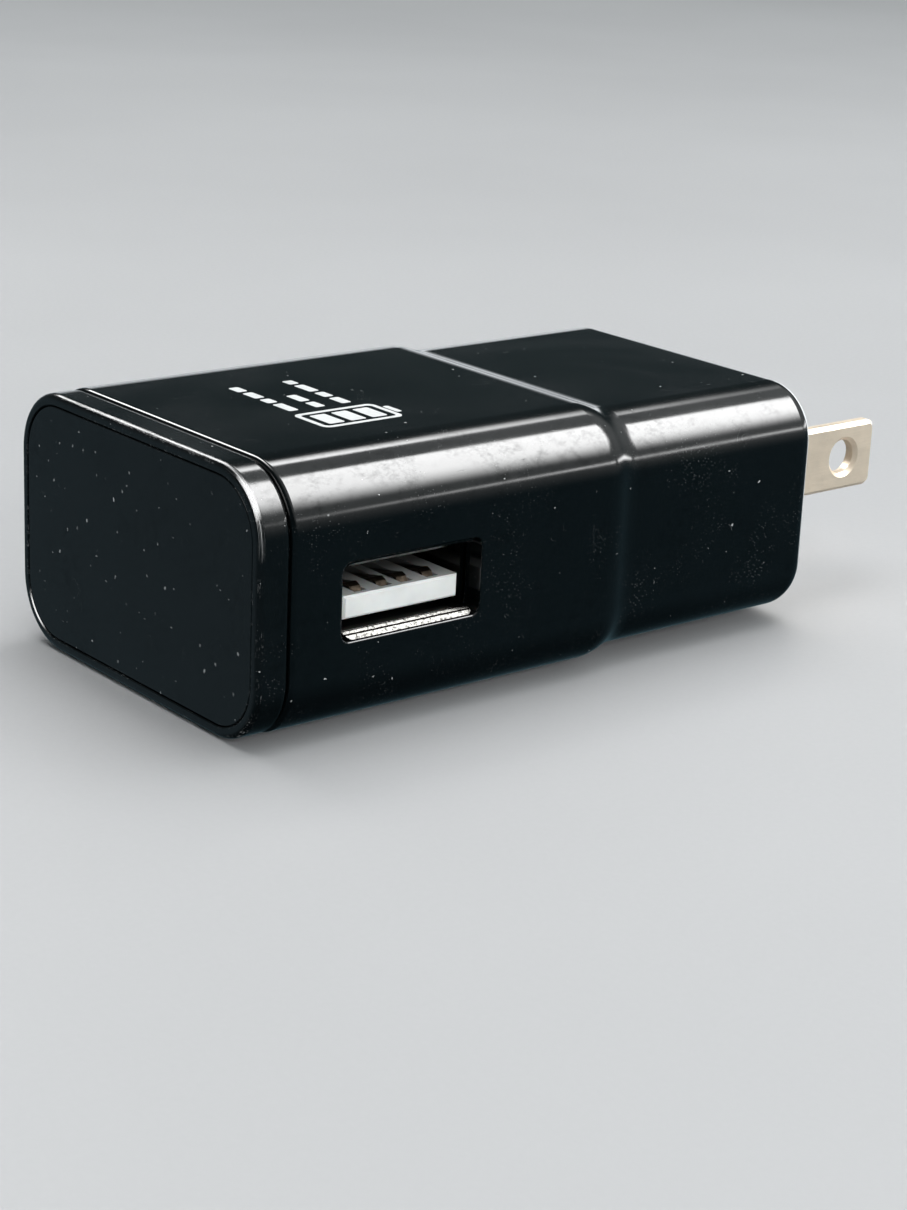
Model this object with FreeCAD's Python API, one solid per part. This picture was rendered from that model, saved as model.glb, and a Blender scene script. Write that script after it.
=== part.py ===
"""USB wall charger with two fixed flat mains blades and one USB type A port.

It is an assembly of separate pieces.

Units are millimetres. The origin is on the plug face, midway between the blades.
+X points out along the blades, -Y out of the USB port, and +Z out of the face that carries the printed mark.
"""

import FreeCAD
import Part
import math
import os

Vector = FreeCAD.Vector

# ---------------------------------------------------------------- driving dimensions

# Outer body
LENGTH = 59.0              # end cap face to plug face
WIDTH = 34.2               # along Y
HEIGHT = 21.8              # along Z
CORNER_R = 5.6             # long outer edges of the wide section
WALL = 2.0
STEP_INSET = 0.7           # the plug section is smaller than the wide section by this, on every side
STEP_FROM_CAP = 34.5       # end cap face to the start of the step
STEP_LENGTH = 3.6
PLUG_EDGE_R = 1.6          # rounding around the plug face
END_WALL = 2.6             # thickness of the wall that carries the blades
MOUTH_EDGE_R = 0.42        # broken edge at the mouth of the housing

# End cap
CAP_FLANGE = 2.8           # length of the visible band
CAP_FLANGE_INSET = 0.08
GROOVE = 0.12              # open groove between the band and the housing
GROOVE_DEPTH = 0.55
BEZEL_WIDTH = 0.95         # flat rim around the end plate
BEZEL_EDGE_R = 0.55
BAND_EDGE_R = 0.42
CAP_FLOOR = 1.3
SKIRT_LENGTH = 2.5
SKIRT_THICKNESS = 1.3
SKIRT_CLEARANCE = 0.08
PLATE_THICKNESS = 0.75
PLATE_RECESS = 0.06        # end plate face below the bezel face
PLATE_GAP = 0.07           # seam around the end plate
PLATE_EDGE_R = 0.12
BEZEL_CHAMFER = 0.08       # broken inner edge of the rim
ADHESIVE_THICKNESS = 0.1

# Mains blades, after the two-pole 125 V plug with 12.7 mm between blade centres
BLADE_SPACING = 12.7
BLADE_WIDTH = 6.3
BLADE_THICKNESS = 1.5
BLADE_LENGTH = 18.2
BLADE_CORNER_R = 0.8
BLADE_TIP_BEVEL = 0.35
BLADE_HOLE_R = 1.6
BLADE_HOLE_CHAMFER = 0.35
BLADE_HOLE_FROM_TIP = 4.0
TAIL_WIDTH = 4.0
TAIL_LENGTH = 9.4          # blade inside the housing, behind the end wall
BLADE_SLOT_CLEARANCE = 0.05

# Blade carrier behind the end wall
CARRIER_WIDTH = 23.0
CARRIER_HEIGHT = 11.0
CARRIER_THICKNESS = 3.4
STAKE_R = 0.9
STAKE_HEAD_R = 1.5
STAKE_SPACING = 7.0
STAKE_HEAD = 0.6

# Circuit board. Its parts hang below it, and its solder side faces the printed face.
BOARD_THICKNESS = 1.6
BOARD_UNDER_Z = 3.2
BOARD_HALF_WIDTH = 13.9
BOARD_CAP_X = -52.9
BOARD_PLUG_X = -6.8
BOARD_TOP_Z = BOARD_UNDER_Z + BOARD_THICKNESS
BOARD_HOLE_CLEARANCE = 0.12
RAIL_REACH = 2.0
RAIL_HEIGHT = 1.0
RAIL_CLEARANCE = 0.1

# USB type A receptacle
PORT_FROM_CAP = 14.35      # end cap face to the middle of the port
PORT_WIDTH = 13.5          # opening in the housing
PORT_HEIGHT = 6.3
PORT_CORNER_R = 0.85
PORT_EDGE_R = 0.16         # broken edge round the opening
SHELL_WIDTH = 13.1
SHELL_HEIGHT = 5.72
SHELL_SHEET = 0.3
SHELL_CORNER_R = 0.5
SHELL_RECESS = 2.1         # port face of the housing to the front of the shell's side walls
LIP_RECESS = 0.1           # port face of the housing to the two lips
LIP_WIDTH = 12.3
LIP_SLOPE = (0.44, 0.16)   # length and drop of the lip's gentle slope
LIP_FLARE = (0.36, 0.31)   # length and drop of its steep end
LIP_EDGE = 0.08            # thickness of its front edge
SHELL_BACK_Y = -3.2
TONGUE_WIDTH = 11.1
TONGUE_THICKNESS = 1.84
TONGUE_TO_SHELL = 0.665    # gap on the side away from the contacts
TONGUE_RECESS = 1.45       # port face of the housing to the front of the tongue
CONTACT_OFFSETS = (-3.5, -1.0, 1.0, 3.5)
CONTACT_NAMES = ("ground", "data_plus", "data_minus", "power")
CONTACT_WIDTH = 1.0
CONTACT_SHEET = 0.25
CONTACT_SLOT_WIDTH = 1.16
CONTACT_PIVOT_Y = -6.0
CONTACT_PIVOT_Z = -1.1
CONTACT_KNUCKLE_R = 0.28
CONTACT_RUNNING_GAP = 0.03
CONTACT_RISE = 0.36        # contact bump above the tongue, at rest

# Transformer
CORE_LENGTH = 14.0         # along X, both halves together
CORE_WIDTH = 16.0          # along Y
CORE_DEPTH = 4.8           # along Z
CORE_BACK = 2.6
CORE_OUTER_LEG = 1.8
CORE_CENTRE_LEG = 4.0
CORE_GAP = 0.1
TRANSFORMER_X = -27.6
TRANSFORMER_Z = -3.1
BOBBIN_WALL = 0.6
WINDING_HALF_Y = 5.7
WINDING_HALF_Z = 5.1
PIN_R = 0.32

# Wires through the board
LEAD_R = 0.3
LEAD_ABOVE_BOARD = 0.9

# ---------------------------------------------------------------- places worked out from the sizes

CAP_X = -LENGTH
STEP_X = CAP_X + STEP_FROM_CAP
PORT_FACE_Y = -WIDTH / 2
PORT_X = CAP_X + PORT_FROM_CAP
HOUSING_MOUTH_X = CAP_X + CAP_FLANGE + GROOVE
SKIRT_END_X = HOUSING_MOUTH_X + SKIRT_LENGTH
BLADE_Y = BLADE_SPACING / 2
SHOULDER_X = -END_WALL
TAIL_END_X = SHOULDER_X - TAIL_LENGTH
CARRIER_BACK_X = SHOULDER_X - CARRIER_THICKNESS
TONGUE_UNDER_Z = -SHELL_HEIGHT / 2 + SHELL_SHEET + TONGUE_TO_SHELL
TONGUE_TOP_Z = TONGUE_UNDER_Z + TONGUE_THICKNESS
TONGUE_FRONT_Y = PORT_FACE_Y + TONGUE_RECESS
INSULATOR_BLOCK_Y = CONTACT_PIVOT_Y - 0.7
LEAD_TOP_Z = BOARD_TOP_Z + LEAD_ABOVE_BOARD
CAVITY_HALF_WIDTH = WIDTH / 2 - WALL
CAVITY_HALF_HEIGHT = HEIGHT / 2 - WALL

round_pins = []            # (x, y, radius) of every round wire that passes through the board
board_slots = []           # (x, y, half length, half width) of every flat tab that passes through it


# ---------------------------------------------------------------- shared helpers

def box(x0, x1, y0, y1, z0, z1):
    """Box between two corners."""
    return Part.makeBox(x1 - x0, y1 - y0, z1 - z0, Vector(x0, y0, z0))


def cylinder(radius, start, end):
    """Round bar from one point to another."""
    along = Vector(*end) - Vector(*start)
    return Part.makeCylinder(radius, along.Length, Vector(*start), along)


def joined(shapes):
    """One solid from shapes that touch or overlap."""
    whole = shapes[0]
    if len(shapes) > 1:
        whole = whole.fuse(shapes[1:])
    return whole.removeSplitter()


def group(shapes):
    """Separate solids that share one node."""
    return Part.makeCompound(shapes)


def rounded_outline(x, width, height, radius):
    """Closed outline of a rounded rectangle, in the plane at x, centred on the X axis."""
    a = width / 2
    b = height / 2
    edges = []
    corners = ((1, 1, 0), (-1, 1, 90), (-1, -1, 180), (1, -1, 270))
    arcs = []
    for side_y, side_z, start in corners:
        centre = Vector(x, side_y * (a - radius), side_z * (b - radius))
        arcs.append(Part.makeCircle(radius, centre, Vector(1, 0, 0), start, start + 90))
    for index, arc in enumerate(arcs):
        following = arcs[(index + 1) % len(arcs)]
        edges.append(arc)
        edges.append(Part.makeLine(arc.lastVertex(True).Point, following.firstVertex(True).Point))
    return Part.Wire(Part.__sortEdges__(edges))


def rounded_bar(x0, x1, width, height, radius):
    """Solid rounded rectangle that runs along X."""
    face = Part.Face(rounded_outline(x0, width, height, radius))
    return face.extrude(Vector(x1 - x0, 0, 0))


def profile_face(points):
    """Face in the XZ plane from points (x, z). A point may be ("arc", middle, end), for a round stretch."""
    edges = []
    first = points[0]
    last = first
    for point in list(points[1:]) + [first]:
        start = Vector(last[0], 0, last[1])
        if point[0] == "arc":
            middle = Vector(point[1][0], 0, point[1][1])
            end = Vector(point[2][0], 0, point[2][1])
            edges.append(Part.Arc(start, middle, end).toShape())
            last = point[2]
            continue
        end = Vector(point[0], 0, point[1])
        if end.distanceToPoint(start) > 1e-6:
            edges.append(Part.makeLine(start, end))
        last = point
    return Part.Face(Part.Wire(edges))


def ring(points, width, height, radius):
    """Sweeps a wall profile round a rounded rectangle.

    Profile points are (x, distance outside the outline).
    """
    face = profile_face(points)
    pieces = []
    half_y = width / 2 - radius
    half_z = height / 2 - radius
    sides = (
        (0, Vector(0, -half_y, height / 2), Vector(0, 2 * half_y, 0)),
        (90, Vector(0, -width / 2, -half_z), Vector(0, 0, 2 * half_z)),
        (180, Vector(0, half_y, -height / 2), Vector(0, -2 * half_y, 0)),
        (270, Vector(0, width / 2, half_z), Vector(0, 0, -2 * half_z)),
    )
    for angle, start, run in sides:
        side = face.copy()
        side.rotate(Vector(0, 0, 0), Vector(1, 0, 0), angle)
        side.translate(start)
        pieces.append(side.extrude(run))
        corner = face.copy()
        corner.translate(Vector(0, 0, radius))
        corner.rotate(Vector(0, 0, 0), Vector(1, 0, 0), angle)
        centre_y = math.copysign(half_y, start.y)
        centre_z = math.copysign(half_z, start.z)
        corner.translate(Vector(0, centre_y, centre_z))
        pieces.append(corner.revolve(Vector(0, centre_y, centre_z), Vector(1, 0, 0), 90))
    return joined(pieces)


def arc_to(centre, radius, start_deg, end_deg):
    """Round stretch of a profile, from one angle to another about a centre."""
    middle_deg = (start_deg + end_deg) / 2

    def at(degrees):
        angle = math.radians(degrees)
        return (centre[0] + radius * math.cos(angle), centre[1] + radius * math.sin(angle))

    return ("arc", at(middle_deg), at(end_deg))


def rounded_box_z(x0, x1, y0, y1, z0, z1, radius):
    """Box whose upright edges are rounded."""
    solid = box(x0, x1, y0, y1, z0, z1)
    upright = [e for e in solid.Edges if abs(e.tangentAt(e.FirstParameter).z) > 0.99]
    return solid.makeFillet(radius, upright)


def wire_path(points, radius, bend):
    """Round wire along straight runs, with a ball at each bend so that the wire has no gap."""
    pieces = [cylinder(radius, points[i], points[i + 1]) for i in range(len(points) - 1)]
    if bend:
        pieces += [Part.makeSphere(radius, Vector(*point)) for point in points[1:-1]]
    return joined(pieces)


def through_wire(x, y, from_z, points_before=()):
    """Wire that ends above the board, at (x, y). It also books its hole."""
    round_pins.append((x, y, LEAD_R))
    path = list(points_before) + [(x, y, from_z), (x, y, LEAD_TOP_Z)]
    return wire_path(path, LEAD_R, bend=len(path) > 2)


# ---------------------------------------------------------------- moulded shells

def housing_wall():
    """Tubular wall of the housing, with the step, the rounded plug end and the open mouth."""
    step_end = STEP_X + STEP_LENGTH
    half = STEP_LENGTH / 2
    # The step is two equal arcs that meet in the middle, each tangent to its flat.
    bend_r = (half * half + (STEP_INSET / 2) ** 2) / STEP_INSET
    bend_deg = math.degrees(math.asin(half / bend_r))
    inner_deep = -(WALL + STEP_INSET)
    points = [
        (HOUSING_MOUTH_X, -MOUTH_EDGE_R),
        arc_to((HOUSING_MOUTH_X + MOUTH_EDGE_R, -MOUTH_EDGE_R), MOUTH_EDGE_R, 180, 90),
        (STEP_X, 0),
        arc_to((STEP_X, -bend_r), bend_r, 90, 90 - bend_deg),
        arc_to((step_end, bend_r - STEP_INSET), bend_r, 270 - bend_deg, 270),
        (-PLUG_EDGE_R, -STEP_INSET),
        arc_to((-PLUG_EDGE_R, -STEP_INSET - PLUG_EDGE_R), PLUG_EDGE_R, 90, 0),
        (0, inner_deep - 0.05),
        (-END_WALL, inner_deep - 0.05),
        (-END_WALL, inner_deep),
        (step_end, inner_deep),
        (STEP_X, -WALL),
        (HOUSING_MOUTH_X, -WALL),
    ]
    return ring(points, WIDTH, HEIGHT, CORNER_R)


def port_cutter(y0, y1, grow=0.0):
    """Rounded bar along Y in the shape of the port opening."""
    bar = rounded_bar(y0, y1, PORT_WIDTH + 2 * grow, PORT_HEIGHT + 2 * grow, PORT_CORNER_R + grow)
    bar.rotate(Vector(0, 0, 0), Vector(0, 0, 1), 90)
    bar.translate(Vector(PORT_X, 0, 0))
    return bar


def snap_places():
    """Middles (y, side) of the four snap catches, on the printed face and on the face opposite."""
    return [(y, side) for y in (-7.0, 7.0) for side in (-1, 1)]


def main_housing():
    wall = housing_wall()
    inset = STEP_INSET + WALL
    end_plate_width = WIDTH - 2 * inset + 0.2
    end_plate_height = HEIGHT - 2 * inset + 0.2
    end_wall = rounded_bar(-END_WALL, 0, end_plate_width, end_plate_height, CORNER_R - inset + 0.1)
    rails = []
    reach_y = BOARD_HALF_WIDTH - 0.7
    for side in (-1, 1):
        for z0 in (BOARD_TOP_Z + RAIL_CLEARANCE, BOARD_UNDER_Z - RAIL_CLEARANCE - RAIL_HEIGHT):
            # The receptacle sits where the port-side rails would run, so they start past it.
            start_x = SKIRT_END_X + 0.8 if side > 0 else PORT_X + PORT_WIDTH / 2 + 1.5
            y0, y1 = sorted((side * reach_y, side * (CAVITY_HALF_WIDTH + 0.4)))
            rails.append(box(start_x, -END_WALL - 0.3, y0, y1, z0, z0 + RAIL_HEIGHT))
    stakes = []
    for side in (-1, 1):
        z = side * STAKE_SPACING / 2
        stakes.append(cylinder(STAKE_R, (-END_WALL - CARRIER_THICKNESS, 0, z), (-END_WALL + 0.5, 0, z)))
        head_start = (CARRIER_BACK_X - STAKE_HEAD, 0, z)
        stakes.append(cylinder(STAKE_HEAD_R, head_start, (CARRIER_BACK_X, 0, z)))
    body = joined([wall, end_wall] + rails + stakes)
    cutters = [port_cutter(PORT_FACE_Y - 1, PORT_FACE_Y + WALL + 0.6)]
    for side in (-1, 1):
        y = side * BLADE_Y
        half_t = BLADE_THICKNESS / 2 + BLADE_SLOT_CLEARANCE
        half_w = BLADE_WIDTH / 2 + BLADE_SLOT_CLEARANCE
        cutters.append(box(-END_WALL - 0.5, 1, y - half_t, y + half_t, -half_w, half_w))
    for y, side in snap_places():
        z0, z1 = sorted((side * (CAVITY_HALF_HEIGHT - 0.3), side * (CAVITY_HALF_HEIGHT + 0.45)))
        cutters.append(box(SKIRT_END_X - 1.5, SKIRT_END_X - 0.3, y - 3.2, y + 3.2, z0, z1))
    body = body.cut(cutters)
    port_edges = []
    for edge in body.Edges:
        bounds = edge.BoundBox
        on_face = abs(bounds.YMin - PORT_FACE_Y) < 1e-4 and abs(bounds.YMax - PORT_FACE_Y) < 1e-4
        beside_port = abs(edge.CenterOfMass.x - PORT_X) < PORT_WIDTH / 2 + 0.01
        if on_face and beside_port and abs(bounds.ZMax) < PORT_HEIGHT:
            port_edges.append(edge)
    return body.makeFillet(PORT_EDGE_R, port_edges)


def end_cap():
    """Band, bezel, floor and skirt in one moulding. The end plate drops into its recess."""
    flange_back = CAP_X + CAP_FLANGE
    top = -CAP_FLANGE_INSET
    skirt_out = -(WALL + SKIRT_CLEARANCE)
    skirt_in = skirt_out - SKIRT_THICKNESS
    recess_floor = CAP_X + PLATE_RECESS + PLATE_THICKNESS + ADHESIVE_THICKNESS
    bezel_in = top - BEZEL_WIDTH
    points = [
        (CAP_X, top - BEZEL_EDGE_R),
        arc_to((CAP_X + BEZEL_EDGE_R, top - BEZEL_EDGE_R), BEZEL_EDGE_R, 180, 90),
        (flange_back - BAND_EDGE_R, top),
        arc_to((flange_back - BAND_EDGE_R, top - BAND_EDGE_R), BAND_EDGE_R, 90, 0),
        (flange_back, -GROOVE_DEPTH),
        (HOUSING_MOUTH_X, -GROOVE_DEPTH),
        (HOUSING_MOUTH_X, skirt_out),
        (SKIRT_END_X - 0.4, skirt_out),
        (SKIRT_END_X, skirt_out - 0.3),
        (SKIRT_END_X, skirt_in),
        (recess_floor + CAP_FLOOR - 0.1, skirt_in),
        (recess_floor, skirt_in),
        (recess_floor, bezel_in),
        (CAP_X + BEZEL_CHAMFER, bezel_in),
        (CAP_X, bezel_in + BEZEL_CHAMFER),
    ]
    wall = ring(points, WIDTH, HEIGHT, CORNER_R)
    floor_width = WIDTH + 2 * skirt_in + 0.2
    floor_height = HEIGHT + 2 * skirt_in + 0.2
    floor_radius = CORNER_R + skirt_in + 0.1
    floor_back = recess_floor + CAP_FLOOR
    floor = rounded_bar(recess_floor, floor_back, floor_width, floor_height, floor_radius)
    bumps = []
    for y, side in snap_places():
        base = side * (CAVITY_HALF_HEIGHT - 0.5)
        crest = side * (CAVITY_HALF_HEIGHT + 0.3)
        z0, z1 = sorted((base, crest))
        bumps.append(box(SKIRT_END_X - 1.35, SKIRT_END_X - 0.5, y - 2.9, y + 2.9, z0, z1))
    return joined([wall, floor] + bumps)


def plate_size():
    """Width, height and corner radius of the end plate."""
    inset = CAP_FLANGE_INSET + BEZEL_WIDTH + PLATE_GAP
    return WIDTH - 2 * inset, HEIGHT - 2 * inset, CORNER_R - inset


def end_plate():
    width, height, radius = plate_size()
    face_x = CAP_X + PLATE_RECESS
    plate = rounded_bar(face_x, face_x + PLATE_THICKNESS, width, height, radius)
    front_edges = [e for e in plate.Edges if e.BoundBox.XMax < face_x + 1e-4]
    return plate.makeFillet(PLATE_EDGE_R, front_edges)


def plate_adhesive():
    width, height, radius = plate_size()
    x0 = CAP_X + PLATE_RECESS + PLATE_THICKNESS
    x1 = x0 + ADHESIVE_THICKNESS
    outer = rounded_bar(x0, x1, width - 1.6, height - 1.6, radius - 0.8)
    inner = rounded_bar(x0 - 1, x1 + 1, width - 8, height - 8, radius - 2)
    return outer.cut(inner)


# ---------------------------------------------------------------- mains side

def blade(side):
    """Flat blade with a rounded, bevelled tip, a chamfered hole and a narrow tail inside the housing."""
    y = side * BLADE_Y
    half_t = BLADE_THICKNESS / 2
    half_w = BLADE_WIDTH / 2
    body = box(SHOULDER_X, BLADE_LENGTH, y - half_t, y + half_t, -half_w, half_w)
    tip_edges = []
    for edge in body.Edges:
        middle = edge.CenterOfMass
        if abs(middle.x - BLADE_LENGTH) < 1e-4 and abs(abs(middle.z) - half_w) < 1e-4:
            tip_edges.append(edge)
    body = body.makeFillet(BLADE_CORNER_R, tip_edges)
    bevel_edges = []
    for edge in body.Edges:
        middle = edge.CenterOfMass
        on_face = abs(abs(middle.y - y) - half_t) < 1e-4
        if on_face and middle.x > BLADE_LENGTH - BLADE_CORNER_R - 0.2:
            bevel_edges.append(edge)
    body = body.makeChamfer(BLADE_TIP_BEVEL, bevel_edges)
    tail = box(TAIL_END_X, SHOULDER_X + 0.5, y - half_t, y + half_t, -TAIL_WIDTH / 2, TAIL_WIDTH / 2)
    body = joined([body, tail])
    hole_x = BLADE_LENGTH - BLADE_HOLE_FROM_TIP
    cutters = [cylinder(BLADE_HOLE_R, (hole_x, y - 2, 0), (hole_x, y + 2, 0))]
    for face_side in (-1, 1):
        wide = BLADE_HOLE_R + BLADE_HOLE_CHAMFER
        face_y = y + face_side * half_t
        cutters.append(Part.makeCone(
            wide, BLADE_HOLE_R, BLADE_HOLE_CHAMFER, Vector(hole_x, face_y, 0), Vector(0, -face_side, 0)
        ))
    return body.cut(cutters)


def blade_carrier():
    """Insulating block that holds the blade tails, staked to the end wall."""
    block = rounded_bar(CARRIER_BACK_X, SHOULDER_X, CARRIER_WIDTH, CARRIER_HEIGHT, 1.5)
    cutters = []
    for side in (-1, 1):
        y = side * BLADE_Y
        half_t = BLADE_THICKNESS / 2 + BLADE_SLOT_CLEARANCE
        half_w = TAIL_WIDTH / 2 + BLADE_SLOT_CLEARANCE
        cutters.append(box(CARRIER_BACK_X - 1, 0, y - half_t, y + half_t, -half_w, half_w))
        z = side * STAKE_SPACING / 2
        cutters.append(cylinder(STAKE_R + 0.08, (CARRIER_BACK_X - 1, 0, z), (0, 0, z)))
    return block.cut(cutters)


def mains_clip(side):
    """Sprung clip on the board that grips one blade tail."""
    sheet = 0.4
    x0 = TAIL_END_X + 0.4
    x1 = x0 + 4.2
    y = side * BLADE_Y
    inner = BLADE_THICKNESS / 2 + 0.02
    saddle_z = TAIL_WIDTH / 2 + 0.35
    parts = [box(x0, x1, y - inner - sheet, y + inner + sheet, saddle_z, saddle_z + sheet)]
    for leg in (-1, 1):
        y0, y1 = sorted((y + leg * inner, y + leg * (inner + sheet)))
        parts.append(box(x0, x1, y0, y1, -TAIL_WIDTH / 2, saddle_z + 0.1))
        flare = box(x0, x1, y0, y1, -TAIL_WIDTH / 2 - 1.0, -TAIL_WIDTH / 2)
        flare.rotate(Vector(x0, y0 if leg > 0 else y1, -TAIL_WIDTH / 2), Vector(1, 0, 0), leg * 16)
        parts.append(flare)
        tab_y = y + leg * (inner + sheet / 2)
        parts.append(box(x0 + 1.4, x0 + 2.8, tab_y - sheet / 2, tab_y + sheet / 2, saddle_z, LEAD_TOP_Z))
        board_slots.append((x0 + 2.1, tab_y, 0.7, sheet / 2))
    return joined(parts)


# ---------------------------------------------------------------- USB receptacle

def tube_along_y(y0, y1, width, height, radius, sheet):
    """Rounded rectangular tube along Y, centred on the port."""
    outer = rounded_bar(y0, y1, width, height, radius)
    inner = rounded_bar(y0 - 1, y1 + 1, width - 2 * sheet, height - 2 * sheet, radius - sheet)
    tube = outer.cut(inner)
    tube.rotate(Vector(0, 0, 0), Vector(0, 0, 1), 90)
    tube.translate(Vector(PORT_X, 0, 0))
    return tube


def shell_lip(side):
    """Lip in front of the shell's upper or lower wall.

    It bends outwards twice and thins to its front edge.
    """
    inner = SHELL_SHEET - SHELL_HEIGHT / 2
    outer = -SHELL_HEIGHT / 2
    front_y = PORT_FACE_Y + LIP_RECESS
    back_y = PORT_FACE_Y + SHELL_RECESS + 0.2
    flare_length, flare_drop = LIP_FLARE
    slope_length, slope_drop = LIP_SLOPE
    flare_y = front_y + flare_length
    slope_y = flare_y + slope_length
    tip_z = inner - slope_drop - flare_drop
    profile = profile_face([
        (front_y, tip_z), (flare_y, inner - slope_drop), (slope_y, inner), (back_y, inner),
        (back_y, outer), (slope_y, outer), (front_y, tip_z - LIP_EDGE),
    ])
    profile.rotate(Vector(0, 0, 0), Vector(0, 0, 1), 90)
    profile.translate(Vector(PORT_X - LIP_WIDTH / 2, 0, 0))
    lip = profile.extrude(Vector(LIP_WIDTH, 0, 0))
    bends = []
    for edge in lip.Edges:
        middle = edge.CenterOfMass
        along_x = abs(edge.tangentAt(edge.FirstParameter).x) > 0.99
        if along_x and middle.z > outer + 0.05 and flare_y - 0.01 < middle.y < slope_y + 0.01:
            bends.append(edge)
    lip = lip.makeFillet(0.5, bends)
    half = LIP_WIDTH / 2
    lip = lip.common(rounded_box_z(PORT_X - half, PORT_X + half, front_y, back_y + 2, -4, 4, 0.6))
    if side > 0:
        lip = lip.mirror(Vector(0, 0, 0), Vector(0, 0, 1))
    return lip


def spring_places():
    """Middles (x, side) of the four leaf springs cut out of the shell."""
    return [(PORT_X + x, side) for x in (-3.1, 3.1) for side in (-1, 1)]


def usb_shell():
    """Folded sheet shell with two flared lips, four leaf springs and two legs."""
    body_y = PORT_FACE_Y + SHELL_RECESS
    tube = tube_along_y(body_y, SHELL_BACK_Y, SHELL_WIDTH, SHELL_HEIGHT, SHELL_CORNER_R, SHELL_SHEET)
    shell = joined([tube, shell_lip(-1), shell_lip(1)])
    leaf_y0 = body_y + 1.2
    leaf_y1 = leaf_y0 + 5.0
    leaf_half = 0.9
    cut_width = 0.35
    windows = []
    leaves = []
    for x, side in spring_places():
        wall_out = side * (SHELL_HEIGHT / 2 + 0.5)
        wall_in = side * (SHELL_HEIGHT / 2 - SHELL_SHEET - 0.4)
        z0, z1 = sorted((wall_out, wall_in))
        half = leaf_half + cut_width
        windows.append(box(x - half, x + half, leaf_y0 - cut_width, leaf_y1, z0, z1))
        outer = side * SHELL_HEIGHT / 2
        inner = side * (SHELL_HEIGHT / 2 - SHELL_SHEET)
        dip = -side * 0.28
        corners = [
            (leaf_y1 + 0.01, outer), (leaf_y1 + 0.01, inner), (leaf_y0 + 0.6, inner + dip),
            (leaf_y0, inner + dip * 0.6), (leaf_y0, outer + dip * 0.6), (leaf_y0 + 0.6, outer + dip),
        ]
        wire = Part.makePolygon([Vector(x - leaf_half, y, z) for y, z in corners + corners[:1]])
        leaves.append(Part.Face(wire).extrude(Vector(2 * leaf_half, 0, 0)))
    shell = joined([shell.cut(windows)] + leaves)
    legs = []
    leg_y = -9.5
    for side in (-1, 1):
        x0, x1 = sorted((PORT_X + side * SHELL_WIDTH / 2, PORT_X + side * (SHELL_WIDTH / 2 - SHELL_SHEET)))
        legs.append(box(x0, x1, leg_y - 1.0, leg_y + 1.0, 0.0, LEAD_TOP_Z))
        board_slots.append(((x0 + x1) / 2, leg_y, SHELL_SHEET / 2, 1.0))
    return joined([shell] + legs)


def contact_beam_profile():
    """Side view (y, z) of one sprung contact, from the knuckle out to its dipped front end."""
    crest_z = TONGUE_TOP_Z + CONTACT_RISE
    crest_y = TONGUE_FRONT_Y + 1.9
    front_y = TONGUE_FRONT_Y + 0.85
    return [
        (CONTACT_PIVOT_Y, CONTACT_PIVOT_Z),
        (CONTACT_PIVOT_Y - 1.4, CONTACT_PIVOT_Z),
        (crest_y + 0.6, crest_z - 0.28),
        (crest_y, crest_z - CONTACT_SHEET / 2),
        (crest_y - 0.4, crest_z - 0.28),
        (front_y, CONTACT_PIVOT_Z + 0.22),
    ]


def strip_along(points, x0, x1, sheet):
    """Flat strip of one width that follows a side view (y, z)."""
    pieces = []
    for start, end in zip(points, points[1:]):
        run = Vector(0, end[0] - start[0], end[1] - start[1])
        across = Vector(0, -run.z, run.y)
        across.normalize()
        across.multiply(sheet / 2)
        a = Vector(x0, start[0], start[1])
        b = Vector(x0, end[0], end[1])
        outline = [a + across, b + across, b - across, a - across, a + across]
        pieces.append(Part.Face(Part.makePolygon(outline)).extrude(Vector(x1 - x0, 0, 0)))
    for y, z in points[1:-1]:
        pieces.append(cylinder(sheet / 2, (x0, y, z), (x1, y, z)))
    return joined(pieces)


def contact_beam(offset):
    """Sprung length of one contact, with a round knuckle at its root."""
    x0 = PORT_X + offset - CONTACT_WIDTH / 2
    x1 = x0 + CONTACT_WIDTH
    beam = strip_along(contact_beam_profile(), x0, x1, CONTACT_SHEET)
    start = (x0, CONTACT_PIVOT_Y, CONTACT_PIVOT_Z)
    knuckle = cylinder(CONTACT_KNUCKLE_R, start, (x1, CONTACT_PIVOT_Y, CONTACT_PIVOT_Z))
    return joined([beam, knuckle])


def contact_tail(offset, grow=0.0):
    """Fixed length of one contact: a seat for the knuckle, then a strip back and up through the board."""
    half = CONTACT_WIDTH / 2 + grow
    x = PORT_X + offset
    sheet = CONTACT_SHEET + 2 * grow
    z = CONTACT_PIVOT_Z
    bend_y = SHELL_BACK_Y + 0.45
    seat_front = CONTACT_PIVOT_Y - 0.1 - (3.0 if grow else 0.0)
    seat = box(x - half, x + half, seat_front, CONTACT_PIVOT_Y + 0.7, z - 0.5 - grow, z + 0.5 + grow)
    points = [(CONTACT_PIVOT_Y + 0.6, z), (bend_y, z), (bend_y, LEAD_TOP_Z)]
    tail = joined([seat, strip_along(points, x - half, x + half, sheet)])
    if grow:
        return tail
    board_slots.append((x, bend_y, CONTACT_WIDTH / 2, CONTACT_SHEET / 2))
    socket_r = CONTACT_KNUCKLE_R + CONTACT_RUNNING_GAP
    socket = cylinder(socket_r, (x - 1, CONTACT_PIVOT_Y, z), (x + 1, CONTACT_PIVOT_Y, z))
    return tail.cut(socket)


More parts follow.
